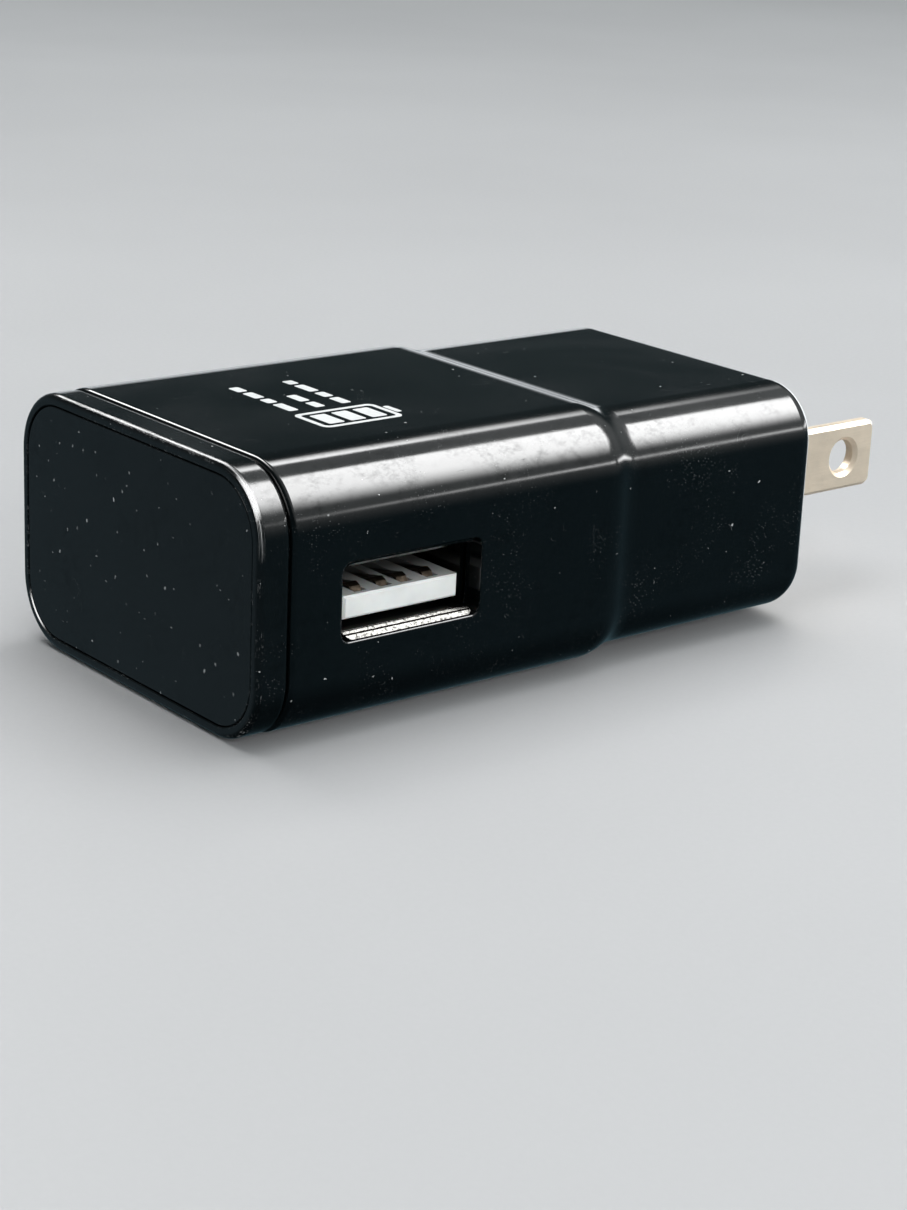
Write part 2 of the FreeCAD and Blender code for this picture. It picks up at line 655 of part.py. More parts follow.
def usb_insulator():
    """White moulding: the tongue with four contact slots, and the block that closes the back of the shell."""
    half_in = SHELL_WIDTH / 2 - SHELL_SHEET - 0.04
    half_up = SHELL_HEIGHT / 2 - SHELL_SHEET - 0.04
    half_t = TONGUE_WIDTH / 2
    tongue = box(
        PORT_X - half_t, PORT_X + half_t, TONGUE_FRONT_Y, INSULATOR_BLOCK_Y + 0.5,
        TONGUE_UNDER_Z, TONGUE_TOP_Z,
    )
    front_edges = []
    for edge in tongue.Edges:
        middle = edge.CenterOfMass
        if abs(middle.y - TONGUE_FRONT_Y) < 1e-4:
            front_edges.append(edge)
    tongue = tongue.makeChamfer(0.18, front_edges)
    block_back = SHELL_BACK_Y - 0.1
    block = box(PORT_X - half_in, PORT_X + half_in, INSULATOR_BLOCK_Y, block_back, -half_up, half_up)
    block = block.makeFillet(0.5, [e for e in block.Edges if abs(e.tangentAt(e.FirstParameter).y) > 0.99])
    body = joined([tongue, block])
    cutters = []
    for offset in CONTACT_OFFSETS:
        x = PORT_X + offset
        half = CONTACT_SLOT_WIDTH / 2
        slot_front = TONGUE_FRONT_Y + 0.62
        cutters.append(box(x - half, x + half, slot_front, INSULATOR_BLOCK_Y, -1.62, TONGUE_TOP_Z + 1))
        # Behind the block face the slot narrows to a close fit round the seat and the tail.
        cutters.append(contact_tail(offset, grow=0.02))
    return body.cut(cutters)


# ---------------------------------------------------------------- transformer

def core_half(side):
    """E-shaped ferrite half. Its three legs point to the middle of the transformer."""
    half_gap = CORE_GAP / 2
    reach = CORE_LENGTH / 2
    z0 = TRANSFORMER_Z - CORE_DEPTH / 2
    z1 = z0 + CORE_DEPTH

    def bar(near, far, y0, y1):
        x0, x1 = sorted((TRANSFORMER_X + side * near, TRANSFORMER_X + side * far))
        return box(x0, x1, y0, y1, z0, z1)

    half = CORE_WIDTH / 2
    parts = [bar(reach - CORE_BACK, reach, -half, half)]
    parts.append(bar(half_gap, reach, -CORE_CENTRE_LEG / 2, CORE_CENTRE_LEG / 2))
    for leg in (-1, 1):
        y0, y1 = sorted((leg * half, leg * (half - CORE_OUTER_LEG)))
        parts.append(bar(half_gap, reach, y0, y1))
    return joined(parts)


def ring_box(half_x, inner_y, inner_z, outer_y, outer_z):
    """Rectangular ring round the winding axis."""
    x0 = TRANSFORMER_X - half_x
    x1 = TRANSFORMER_X + half_x
    outer = box(x0, x1, -outer_y, outer_y, TRANSFORMER_Z - outer_z, TRANSFORMER_Z + outer_z)
    inner = box(x0 - 1, x1 + 1, -inner_y, inner_y, TRANSFORMER_Z - inner_z, TRANSFORMER_Z + inner_z)
    long_edges = [e for e in outer.Edges if abs(e.tangentAt(e.FirstParameter).x) > 0.99]
    return outer.makeFillet(min(1.2, (outer_z - inner_z) * 0.8), long_edges).cut(inner)


TUBE_HALF_Y = CORE_CENTRE_LEG / 2 + 0.1
TUBE_HALF_Z = CORE_DEPTH / 2 + 0.1
FLANGE_INNER_X = CORE_LENGTH / 2 - CORE_BACK - 0.7
PRIMARY_THICKNESS = 1.3


def transformer_bobbin():
    outer_y = TUBE_HALF_Y + BOBBIN_WALL
    outer_z = TUBE_HALF_Z + BOBBIN_WALL
    tube = ring_box(FLANGE_INNER_X + 0.1, TUBE_HALF_Y, TUBE_HALF_Z, outer_y, outer_z)
    parts = [tube]
    flange_half_y = CORE_WIDTH / 2 - CORE_OUTER_LEG - 0.1
    rail_half_y = CORE_WIDTH / 2 - 0.4
    for side in (-1, 1):
        near = TRANSFORMER_X + side * FLANGE_INNER_X
        far = TRANSFORMER_X + side * (CORE_LENGTH / 2)
        x0, x1 = sorted((near, near + side * 0.6))
        flange = box(x0, x1, -flange_half_y, flange_half_y, TRANSFORMER_Z - 5.3, TRANSFORMER_Z + 5.3)
        leg_hole = box(
            x0 - 1, x1 + 1, -TUBE_HALF_Y, TUBE_HALF_Y,
            TRANSFORMER_Z - TUBE_HALF_Z, TRANSFORMER_Z + TUBE_HALF_Z,
        )
        parts.append(flange.cut(leg_hole))
        rail_x0, rail_x1 = sorted((near, far))
        rail_under = TRANSFORMER_Z + CORE_DEPTH / 2 + 0.1
        parts.append(box(rail_x0, rail_x1, -rail_half_y, rail_half_y, rail_under, BOARD_UNDER_Z - 0.1))
    bobbin = joined(parts)
    holes = []
    for x, y in transformer_pin_places():
        holes.append(cylinder(PIN_R, (x, y, BOARD_UNDER_Z - 2.1), (x, y, BOARD_UNDER_Z + 1)))
    return bobbin.cut(holes)


def transformer_pin_places():
    x = CORE_LENGTH / 2 - 1.1
    return [(TRANSFORMER_X + side * x, y) for side in (-1, 1) for y in (-6.0, -2.0, 2.0, 6.0)]


def transformer_pins():
    pins = []
    for x, y in transformer_pin_places():
        round_pins.append((x, y, PIN_R))
        pins.append(cylinder(PIN_R, (x, y, BOARD_UNDER_Z - 2.1), (x, y, LEAD_TOP_Z)))
    return group(pins)


def winding(inner_grow, outer_y, outer_z):
    """One layer of winding, as a rounded ring that fills the space between the flanges."""
    inner_y = TUBE_HALF_Y + BOBBIN_WALL + inner_grow
    inner_z = TUBE_HALF_Z + BOBBIN_WALL + inner_grow
    return ring_box(FLANGE_INNER_X - 0.05, inner_y, inner_z, outer_y, outer_z)


def primary_winding():
    outer_y = TUBE_HALF_Y + BOBBIN_WALL + PRIMARY_THICKNESS
    outer_z = TUBE_HALF_Z + BOBBIN_WALL + PRIMARY_THICKNESS
    return winding(0.02, outer_y, outer_z)


def secondary_winding():
    return winding(PRIMARY_THICKNESS + 0.02, WINDING_HALF_Y, WINDING_HALF_Z)


def winding_tape():
    return ring_box(
        FLANGE_INNER_X - 0.05, WINDING_HALF_Y + 0.02, WINDING_HALF_Z + 0.02,
        WINDING_HALF_Y + 0.14, WINDING_HALF_Z + 0.14,
    )


def core_tape():
    """Tape that binds the two core halves together."""
    half_x = CORE_LENGTH / 2 + 0.01
    half_y = CORE_WIDTH / 2 + 0.01
    film = 0.12
    z0 = TRANSFORMER_Z - 1.7
    z1 = TRANSFORMER_Z + 1.7
    x = TRANSFORMER_X
    outer = box(x - half_x - film, x + half_x + film, -half_y - film, half_y + film, z0, z1)
    return outer.cut(box(x - half_x, x + half_x, -half_y, half_y, z0 - 1, z1 + 1))


# ---------------------------------------------------------------- other parts under the board

BULK_R = 3.6
BULK_SLEEVE = 0.1
BULK_X = -16.0
BULK_Z = -4.3
BULK_INNER_Y = 2.3
BULK_LENGTH = 10.2
BUNG_DEPTH = 1.4


def bulk_can(side):
    """Can along Y, open at its inner end, with the bung's seat inside."""
    near = side * BULK_INNER_Y
    far = side * (BULK_INNER_Y + BULK_LENGTH)
    can = cylinder(BULK_R, (BULK_X, near, BULK_Z), (BULK_X, far, BULK_Z))
    far_edge = [e for e in can.Edges if abs(e.CenterOfMass.y - far) < 1e-4 and len(e.Vertexes) == 1]
    can = can.makeFillet(0.4, far_edge)
    seat_end = side * (BULK_INNER_Y + BUNG_DEPTH)
    return can.cut(cylinder(BULK_R - 0.35, (BULK_X, near - side, BULK_Z), (BULK_X, seat_end, BULK_Z)))


def bulk_sleeve(side):
    """Shrunk plastic sleeve round the can."""
    near = side * (BULK_INNER_Y + 0.2)
    far = side * (BULK_INNER_Y + BULK_LENGTH - 0.6)
    outer = cylinder(BULK_R + BULK_SLEEVE + 0.01, (BULK_X, near, BULK_Z), (BULK_X, far, BULK_Z))
    inner = cylinder(BULK_R + 0.01, (BULK_X, near - side, BULK_Z), (BULK_X, far + side, BULK_Z))
    return outer.cut(inner)


def bulk_lead_places(side):
    return [(BULK_X + dx, side * (BULK_INNER_Y - 1.2)) for dx in (-1.75, 1.75)]


def bulk_bung(side):
    """Rubber bung in the mouth of the can."""
    near = side * (BULK_INNER_Y - 0.1)
    far = side * (BULK_INNER_Y + BUNG_DEPTH - 0.02)
    bung = cylinder(BULK_R - 0.37, (BULK_X, near, BULK_Z), (BULK_X, far, BULK_Z))
    holes = []
    for x, _ in bulk_lead_places(side):
        holes.append(cylinder(LEAD_R + 0.02, (x, near - side, BULK_Z), (x, far + side, BULK_Z)))
    return bung.cut(holes)


def bulk_leads(side):
    leads = []
    inside_y = side * (BULK_INNER_Y + BUNG_DEPTH - 0.1)
    for x, y in bulk_lead_places(side):
        leads.append(through_wire(x, y, BULK_Z, points_before=[(x, inside_y, BULK_Z)]))
    return leads


OUTPUT_CAP_PLACES = ((-49.6, 2.7), (-49.6, 9.7))
OUTPUT_CAP_R = 3.15
OUTPUT_CAP_BASE_Z = BOARD_UNDER_Z - 0.4
OUTPUT_CAP_HEIGHT = 8.6
OUTPUT_BUNG = 1.2


def output_can(x, y):
    """Polymer capacitor can, upside down under the board."""
    end_z = OUTPUT_CAP_BASE_Z - OUTPUT_CAP_HEIGHT
    can = cylinder(OUTPUT_CAP_R, (x, y, end_z), (x, y, OUTPUT_CAP_BASE_Z))
    end_edge = [e for e in can.Edges if abs(e.CenterOfMass.z - end_z) < 1e-4 and len(e.Vertexes) == 1]
    can = can.makeFillet(0.4, end_edge)
    seat_z = OUTPUT_CAP_BASE_Z - OUTPUT_BUNG
    return can.cut(cylinder(OUTPUT_CAP_R - 0.3, (x, y, seat_z), (x, y, OUTPUT_CAP_BASE_Z + 1)))


def output_lead_places(x, y):
    return [(x + dx, y) for dx in (-1.25, 1.25)]


def output_bung(x, y):
    seat_z = OUTPUT_CAP_BASE_Z - OUTPUT_BUNG + 0.02
    bung = cylinder(OUTPUT_CAP_R - 0.32, (x, y, seat_z), (x, y, OUTPUT_CAP_BASE_Z + 0.2))
    holes = []
    for lead_x, lead_y in output_lead_places(x, y):
        holes.append(cylinder(LEAD_R + 0.02, (lead_x, lead_y, seat_z - 1), (lead_x, lead_y, BOARD_UNDER_Z)))
    return bung.cut(holes)


def output_leads(x, y):
    start_z = OUTPUT_CAP_BASE_Z - OUTPUT_BUNG + 0.1
    return [through_wire(lead_x, lead_y, start_z) for lead_x, lead_y in output_lead_places(x, y)]


AXIAL_PARTS = {
    # name: (middle x, y, z, body radius, body length)
    "input_choke": (-28.0, 11.1, 0.6, 2.0, 9.0),
    "fusible_resistor": (-28.0, -11.1, 0.9, 1.6, 8.4),
}


def axial_body(name, sleeve=0.0):
    """Round body along X with domed ends, or the sleeve over it."""
    x, y, z, radius, length = AXIAL_PARTS[name]
    if sleeve:
        outer = cylinder(radius + 0.01 + sleeve, (x - length / 2 + 0.8, y, z), (x + length / 2 - 0.8, y, z))
        inner = cylinder(radius + 0.01, (x - length, y, z), (x + length, y, z))
        return outer.cut(inner)
    body = cylinder(radius, (x - length / 2, y, z), (x + length / 2, y, z))
    rims = [e for e in body.Edges if len(e.Vertexes) == 1]
    body = body.makeFillet(0.5, rims)
    bore = cylinder(LEAD_R, (x - length, y, z), (x - length / 2 + 1, y, z))
    other_bore = cylinder(LEAD_R, (x + length / 2 - 1, y, z), (x + length, y, z))
    return body.cut([bore, other_bore])


def axial_leads(name):
    x, y, z, _, length = AXIAL_PARTS[name]
    leads = []
    for side in (-1, 1):
        inside = (x + side * (length / 2 - 1), y, z)
        leads.append(through_wire(x + side * (length / 2 + 1.1), y, z, points_before=[inside]))
    return leads


Y_CAP = (-38.9, 11.0, -1.3)
Y_CAP_R = 3.6
Y_CAP_THICKNESS = 3.2


def y_cap_lead_places():
    x, y, _ = Y_CAP
    return [(x - 2.5, y), (x + 2.5, y)]


def y_capacitor():
    """Dipped disc capacitor that stands on its edge."""
    x, y, z = Y_CAP
    half = Y_CAP_THICKNESS / 2
    disc = cylinder(Y_CAP_R, (x, y - half, z), (x, y + half, z))
    disc = disc.makeFillet(half * 0.8, [e for e in disc.Edges if len(e.Vertexes) == 1])
    holes = [cylinder(LEAD_R, (lx, ly, z), (lx, ly, z + 6)) for lx, ly in y_cap_lead_places()]
    return disc.cut(holes)


def component_leads():
    leads = []
    for name in AXIAL_PARTS:
        leads += axial_leads(name)
    for x, y in OUTPUT_CAP_PLACES:
        leads += output_leads(x, y)
    for x, y in y_cap_lead_places():
        leads.append(through_wire(x, y, Y_CAP[2]))
    return group(leads)


# ---------------------------------------------------------------- parts on the solder side

CHIP_STANDOFF = 0.02
PACKAGES = {
    # name: (x, y, size x, size y, height, leads on each Y side, lead pitch)
    "primary_controller": (-17.5, 8.6, 4.9, 3.9, 1.5, 4, 1.27),
    "protocol_controller": (-44.6, 6.6, 4.9, 3.9, 1.5, 4, 1.27),
    "bridge_rectifier": (-13.2, -9.6, 4.7, 4.0, 1.5, 2, 2.5),
    "primary_switch": (-18.2, -6.4, 4.6, 5.4, 2.2, 2, 3.0),
    "output_rectifier": (-40.0, 1.2, 4.0, 5.6, 1.1, 1, 2.0),
}


def package_body(name):
    """Moulded package, wider at mid-height than at its faces."""
    x, y, size_x, size_y, height, _, _ = PACKAGES[name]
    z0 = BOARD_TOP_Z + 0.1
    sections = []
    for rise, inset in ((0.0, 0.12), (0.5, 0.0), (1.0, 0.12)):
        half_x = size_x / 2 - inset
        half_y = size_y / 2 - inset
        z = z0 + rise * height
        corners = [(-half_x, -half_y), (half_x, -half_y), (half_x, half_y), (-half_x, half_y)]
        outline = corners + corners[:1]
        sections.append(Part.makePolygon([Vector(x + cx, y + cy, z) for cx, cy in outline]))
    body = Part.makeLoft(sections, True, True)
    if name.endswith("controller"):
        dimple = (x - size_x / 2 + 0.8, y - size_y / 2 + 0.8)
        top = z0 + height
        body = body.cut(cylinder(0.35, (*dimple, top - 0.1), (*dimple, top + 1)))
    return body


def package_leads():
    """Gull-wing leads of every package, each a bent strip."""
    leads = []
    for x, y, _, size_y, height, count, pitch in PACKAGES.values():
        mid_z = BOARD_TOP_Z + 0.1 + height / 2
        foot_z = BOARD_TOP_Z + CHIP_STANDOFF + 0.1
        for index in range(count):
            lead_x = x + (index - (count - 1) / 2) * pitch
            for side in (-1, 1):
                body_y = y + side * (size_y / 2 + 0.01)
                knee_y = body_y + side * 0.45
                points = [
                    (body_y, mid_z), (knee_y, mid_z), (knee_y, foot_z), (knee_y + side * 0.7, foot_z),
                ]
                leads.append(strip_along(points, lead_x - 0.2, lead_x + 0.2, 0.18))
    return group(leads)


def chips(places, size_x, size_y, height):
    """Small two-ended surface parts, as one group."""
    solids = []
    z0 = BOARD_TOP_Z + CHIP_STANDOFF
    for x, y, turned in places:
        half_x, half_y = (size_y / 2, size_x / 2) if turned else (size_x / 2, size_y / 2)
        solids.append(rounded_box_z(x - half_x, x + half_x, y - half_y, y + half_y, z0, z0 + height, 0.1))
    return group(solids)


RESISTOR_PLACES = (
    (-22.8, 8.6, True), (-24.6, 8.6, True), (-12.6, 5.4, False), (-12.6, 3.4, False),
    (-38.6, 6.4, True), (-40.2, 6.4, True), (-44.6, 2.0, False), (-36.6, -7.0, True),
)
CAPACITOR_PLACES = (
    (-12.6, 10.2, False), (-26.4, 8.6, True), (-44.6, 12.3, False), (-44.6, 0.2, False),
    (-34.8, -8.6, True), (-30.8, -10.2, True),
)
DIODE_PLACES = ((-26.4, -9.4, False), (-27.6, 12.2, False))


def chip_resistors():
    return chips(RESISTOR_PLACES, 2.0, 1.25, 0.5)


def chip_capacitors():
    return chips(CAPACITOR_PLACES, 2.0, 1.25, 1.1)


def snubber_diodes():
    return chips(DIODE_PLACES, 3.4, 1.6, 1.0)


# ---------------------------------------------------------------- board, solder and insulation

def isolation_barrier():
    """Stiff sheet that stands between the mains side and the low-voltage side."""
    x0 = -37.6
    x1 = x0 + 0.4
    sheet = box(x0, x1, -12.6, 6.6, -8.2, BOARD_UNDER_Z - 0.05)
    tabs = []
    for y in (-10.0, 3.0):
        tabs.append(box(x0, x1, y - 1.2, y + 1.2, 0, BOARD_TOP_Z + 0.3))
        board_slots.append(((x0 + x1) / 2, y, 0.2, 1.2))
    return joined([sheet] + tabs)


def insulation_sheet():
    """Folded film between the solder side and the printed face."""
    film = 0.25
    half = 12.3
    top_z = 7.6
    skirt_z = BOARD_TOP_Z + RAIL_CLEARANCE + RAIL_HEIGHT + 0.15
    x0 = BOARD_CAP_X + 1.2
    x1 = BOARD_PLUG_X - 1.0
    parts = [box(x0, x1, -half, half, top_z, top_z + film)]
    for side in (-1, 1):
        y0, y1 = sorted((side * half, side * (half - film)))
        parts.append(box(x0, x1, y0, y1, skirt_z, top_z + 0.1))
    return joined(parts)


def main_board():
    board = rounded_box_z(
        BOARD_CAP_X, BOARD_PLUG_X, -BOARD_HALF_WIDTH, BOARD_HALF_WIDTH, BOARD_UNDER_Z, BOARD_TOP_Z, 1.0
    )
    cutters = []
    for x, y, radius in round_pins:
        hole_r = radius + BOARD_HOLE_CLEARANCE
        cutters.append(cylinder(hole_r, (x, y, BOARD_UNDER_Z - 1), (x, y, BOARD_TOP_Z + 1)))
    for x, y, half_x, half_y in board_slots:
        a = half_x + BOARD_HOLE_CLEARANCE
        b = half_y + BOARD_HOLE_CLEARANCE
        cutters.append(box(x - a, x + a, y - b, y + b, BOARD_UNDER_Z - 1, BOARD_TOP_Z + 1))
    # Milled slot under the transformer, which lengthens the path between the two sides.
    cutters.append(box(-31.6, -30.2, -7.0, 7.0, BOARD_UNDER_Z - 1, BOARD_TOP_Z + 1))
    return board.cut(cutters)


def solder_joints():
    """Solder fillet round each round wire, on the solder side."""
    solids = []
    for x, y, radius in round_pins:
        wide = radius + 0.55
        narrow = radius + 0.08
        cone = Part.makeCone(wide, narrow, 0.7, Vector(x, y, BOARD_TOP_Z), Vector(0, 0, 1))
        solids.append(cone.cut(cylinder(radius, (x, y, BOARD_TOP_Z - 1), (x, y, BOARD_TOP_Z + 2))))
    return group(solids)


# ---------------------------------------------------------------- the assembly

def build():
    """Every node by name. The board and the solder come last, because the other parts book their holes."""
    nodes = {
        "main_housing": main_housing(),
        "end_cap": end_cap(),
        "end_plate": end_plate(),
        "plate_adhesive": plate_adhesive(),
        "line_blade": blade(-1),
        "neutral_blade": blade(1),
        "blade_carrier": blade_carrier(),
        "line_clip": mains_clip(-1),
        "neutral_clip": mains_clip(1),
        "usb_shell": usb_shell(),
        "usb_insulator": usb_insulator(),
        "usb_contact_tails": group([contact_tail(offset) for offset in CONTACT_OFFSETS]),
        "core_half_plug_end": core_half(1),
        "core_half_cap_end": core_half(-1),
        "transformer_bobbin": transformer_bobbin(),
        "transformer_pins": transformer_pins(),
        "primary_winding": primary_winding(),
        "secondary_winding": secondary_winding(),
        "winding_tape": winding_tape(),
        "core_tape": core_tape(),
        "bulk_capacitor_cans": group([bulk_can(side) for side in (-1, 1)]),
        "bulk_capacitor_sleeves": group([bulk_sleeve(side) for side in (-1, 1)]),
        "bulk_capacitor_bungs": group([bulk_bung(side) for side in (-1, 1)]),
        "bulk_capacitor_leads": group(bulk_leads(-1) + bulk_leads(1)),
        "output_capacitor_cans": group([output_can(x, y) for x, y in OUTPUT_CAP_PLACES]),
        "output_capacitor_bungs": group([output_bung(x, y) for x, y in OUTPUT_CAP_PLACES]),
        "input_choke": axial_body("input_choke"),
        "choke_sleeve": axial_body("input_choke", sleeve=0.15),
        "fusible_resistor": axial_body("fusible_resistor"),
        "resistor_sleeve": axial_body("fusible_resistor", sleeve=0.25),
        "y_capacitor": y_capacitor(),
        "component_leads": component_leads(),
        "package_leads": package_leads(),
        "chip_resistors": chip_resistors(),
        "chip_capacitors": chip_capacitors(),
        "snubber_diodes": snubber_diodes(),
        "isolation_barrier": isolation_barrier(),
        "insulation_sheet": insulation_sheet(),
    }
    for offset, name in zip(CONTACT_OFFSETS, CONTACT_NAMES):
        nodes["contact_spring_" + name] = contact_beam(offset)
    for name in PACKAGES:
        nodes[name] = package_body(name)
    nodes["main_board"] = main_board()
    nodes["solder_joints"] = solder_joints()
    return nodes


os.makedirs("parts", exist_ok=True)
for node_name, shape in build().items():
    if not shape.isValid():
        raise ValueError(node_name + " is not a valid shape")
    shape.exportStep("parts/" + node_name + ".step")
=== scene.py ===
import math

import bmesh
import bpy
from mathutils import Matrix, Vector


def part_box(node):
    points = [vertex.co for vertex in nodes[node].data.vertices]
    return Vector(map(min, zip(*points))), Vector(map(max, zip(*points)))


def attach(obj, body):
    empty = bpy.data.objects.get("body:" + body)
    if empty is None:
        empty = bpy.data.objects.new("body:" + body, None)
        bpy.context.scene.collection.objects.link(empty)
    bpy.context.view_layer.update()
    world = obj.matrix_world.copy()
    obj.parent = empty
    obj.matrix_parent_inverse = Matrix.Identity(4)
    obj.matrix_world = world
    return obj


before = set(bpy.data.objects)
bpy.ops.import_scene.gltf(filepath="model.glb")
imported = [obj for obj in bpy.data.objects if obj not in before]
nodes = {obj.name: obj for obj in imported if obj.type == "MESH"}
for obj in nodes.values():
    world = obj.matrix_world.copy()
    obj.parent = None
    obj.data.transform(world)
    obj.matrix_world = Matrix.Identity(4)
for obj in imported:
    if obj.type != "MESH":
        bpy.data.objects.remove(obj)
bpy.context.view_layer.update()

MM = 0.001

# ---------------------------------------------------------------- material helpers


class Graph:
    """Short way to write a node material."""

    def __init__(self, name):
        self.material = bpy.data.materials.new(name)
        self.material.use_nodes = True
        self.tree = self.material.node_tree
        self.tree.nodes.clear()
        self.output = self.add("ShaderNodeOutputMaterial")
        self.shader = self.add("ShaderNodeBsdfPrincipled")
        self.link(self.shader.outputs["BSDF"], self.output.inputs["Surface"])
        self.object_space = self.add("ShaderNodeTexCoord").outputs["Object"]

    def add(self, kind, **settings):
        node = self.tree.nodes.new(kind)
        for key, value in settings.items():
            setattr(node, key, value)
        return node

    def link(self, a, b):
        self.tree.links.new(a, b)

    def put(self, socket, value):
        """Sets a socket to a number or colour, or links it to another node's output."""
        if isinstance(value, bpy.types.NodeSocket):
            self.link(value, socket)
        elif isinstance(value, (tuple, list)) and len(value) == 3 and socket.type == "RGBA":
            socket.default_value = (*value, 1.0)
        else:
            socket.default_value = value

    def set(self, **values):
        for key, value in values.items():
            self.put(self.shader.inputs[key.replace("_", " ")], value)

    def place(self):
        """Object coordinates as separate X, Y and Z outputs."""
        split = self.add("ShaderNodeSeparateXYZ")
        self.link(self.object_space, split.inputs[0])
        return split.outputs

    def product(self, *factors):
        """All the values multiplied together."""
        result = factors[0]
        for factor in factors[1:]:
            result = self.math("MULTIPLY", result, factor)
        return result

    def stretch(self, scale, turn=(0, 0, 0)):
        """Object coordinates, scaled by axis, so that noise runs in one direction."""
        mapping = self.add("ShaderNodeMapping")
        mapping.inputs["Scale"].default_value = scale
        mapping.inputs["Rotation"].default_value = turn
        self.link(self.object_space, mapping.inputs["Vector"])
        return mapping.outputs["Vector"]

    def noise(self, per_m, detail=3.0, rough=0.5, where=None, distortion=0.0):
        node = self.add("ShaderNodeTexNoise")
        node.inputs["Scale"].default_value = per_m
        node.inputs["Detail"].default_value = detail
        node.inputs["Roughness"].default_value = rough
        node.inputs["Distortion"].default_value = distortion
        self.link(where or self.object_space, node.inputs["Vector"])
        return node.outputs["Fac"]

    def cells(self, per_m, where=None, feature="F1", output="Distance", randomness=1.0):
        node = self.add("ShaderNodeTexVoronoi", feature=feature)
        node.inputs["Scale"].default_value = per_m
        node.inputs["Randomness"].default_value = randomness
        self.link(where or self.object_space, node.inputs["Vector"])
        return node.outputs[output]

    def ramp(self, value, low, high, out_low=0.0, out_high=1.0):
        """Straight map from one range to another, clamped at both ends."""
        node = self.add("ShaderNodeMapRange", clamp=True)
        self.put(node.inputs["Value"], value)
        node.inputs["From Min"].default_value = low
        node.inputs["From Max"].default_value = high
        node.inputs["To Min"].default_value = out_low
        node.inputs["To Max"].default_value = out_high
        return node.outputs["Result"]

    def math(self, operation, a, b=0.0, clamp=False):
        node = self.add("ShaderNodeMath", operation=operation, use_clamp=clamp)
        self.put(node.inputs[0], a)
        self.put(node.inputs[1], b)
        return node.outputs[0]

    def mix(self, factor, a, b):
        node = self.add("ShaderNodeMix", data_type="RGBA")
        self.put(node.inputs["Factor"], factor)
        self.put(node.inputs[6], a)
        self.put(node.inputs[7], b)
        return node.outputs[2]

    def bump(self, height, distance, strength=1.0, below=None):
        node = self.add("ShaderNodeBump")
        node.inputs["Distance"].default_value = distance
        node.inputs["Strength"].default_value = strength
        self.link(height, node.inputs["Height"])
        if below is not None:
            self.link(below, node.inputs["Normal"])
        return node.outputs["Normal"]

    def edges(self, radius, low=0.01, high=0.2):
        """1 near sharp edges and 0 on the flats."""
        bevel = self.add("ShaderNodeBevel", samples=6)
        bevel.inputs["Radius"].default_value = radius
        geometry = self.add("ShaderNodeNewGeometry")
        dot = self.add("ShaderNodeVectorMath", operation="DOT_PRODUCT")
        self.link(bevel.outputs["Normal"], dot.inputs[0])
        self.link(geometry.outputs["Normal"], dot.inputs[1])
        return self.ramp(self.math("SUBTRACT", 1.0, dot.outputs["Value"]), low, high)


RAGGED_GRAIN = 5200.0      # per metre
SPECK_CORE = 0.55          # share of a spot's radius that is fully bright


def ragged(g, where, amount):
    """Coordinates shaken by fine noise, so that spots get ragged outlines."""
    node = g.add("ShaderNodeTexNoise")
    node.inputs["Scale"].default_value = RAGGED_GRAIN
    node.inputs["Detail"].default_value = 2.0
    g.link(g.object_space, node.inputs["Vector"])
    shift = g.add("ShaderNodeVectorMath", operation="MULTIPLY_ADD")
    g.link(node.outputs["Color"], shift.inputs[0])
    shift.inputs[1].default_value = (amount, amount, amount)
    g.link(where, shift.inputs[2])
    return shift.outputs[0]


def specks(g, per_m, size, density, where=None):
    """Sparse spots of varied brightness: dust, or small flakes. The size is a share of the spacing."""
    near = g.ramp(g.cells(per_m, where), size, size * SPECK_CORE)
    split = g.add("ShaderNodeSeparateColor")
    g.link(g.cells(per_m, where, output="Color"), split.inputs["Color"])
    chosen = g.ramp(split.outputs["Red"], density, density * 0.95)
    brightness = g.ramp(split.outputs["Green"], 0.0, 1.0, 0.25, 1.0)
    return g.product(near, chosen, brightness)


def hairlines(g, per_m, turn, low, high):
    """Fine straight scratches in one direction, broken up along their length."""
    where = g.stretch((0.05, 1.0, 1.0), turn)
    line = g.ramp(g.noise(per_m, 2.0, 0.6, where), low, high)
    broken = g.ramp(g.noise(190.0, 2.0, 0.5), 0.52, 0.62)
    return g.product(line, broken)


# ---------------------------------------------------------------- materials

DUST_GREY = (0.80, 0.81, 0.81)
SCRATCH_GREY = (0.30, 0.30, 0.31)
TARNISH_BROWN = (0.32, 0.26, 0.19)
PRESSED_DARK = (0.010, 0.010, 0.009)
# Colour of the painted shade in the lip's crease
CREASE_SHADE_DARK = (0.004, 0.004, 0.003)
# Colour of the painted shade inside the socket
SOCKET_SHADE_DARK = (0.02, 0.02, 0.02)
CAP_CORNER = Vector((0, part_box("end_cap")[0].y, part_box("end_cap")[1].z))


def rim_streaks(g):
    """Fine marks that run along the rounded rim, where the surface turns from the side to the end."""
    turn = g.add("ShaderNodeSeparateXYZ")
    g.link(g.add("ShaderNodeTexCoord").outputs["Normal"], turn.inputs[0])
    facing_end = g.product(turn.outputs["X"], -1.0)
    zone = g.product(g.ramp(facing_end, 0.10, 0.30), g.ramp(facing_end, 0.97, 0.88))
    place = g.place()
    along = g.add("ShaderNodeCombineXYZ")
    g.link(g.product(facing_end, 6.0 * MM), along.inputs["X"])
    for axis in ("Y", "Z"):
        g.link(g.product(place[axis], 0.08), along.inputs[axis])
    streak = g.ramp(g.noise(1900.0, 3.0, 0.7, along.outputs[0]), 0.50, 0.62)
    return g.product(streak, zone)


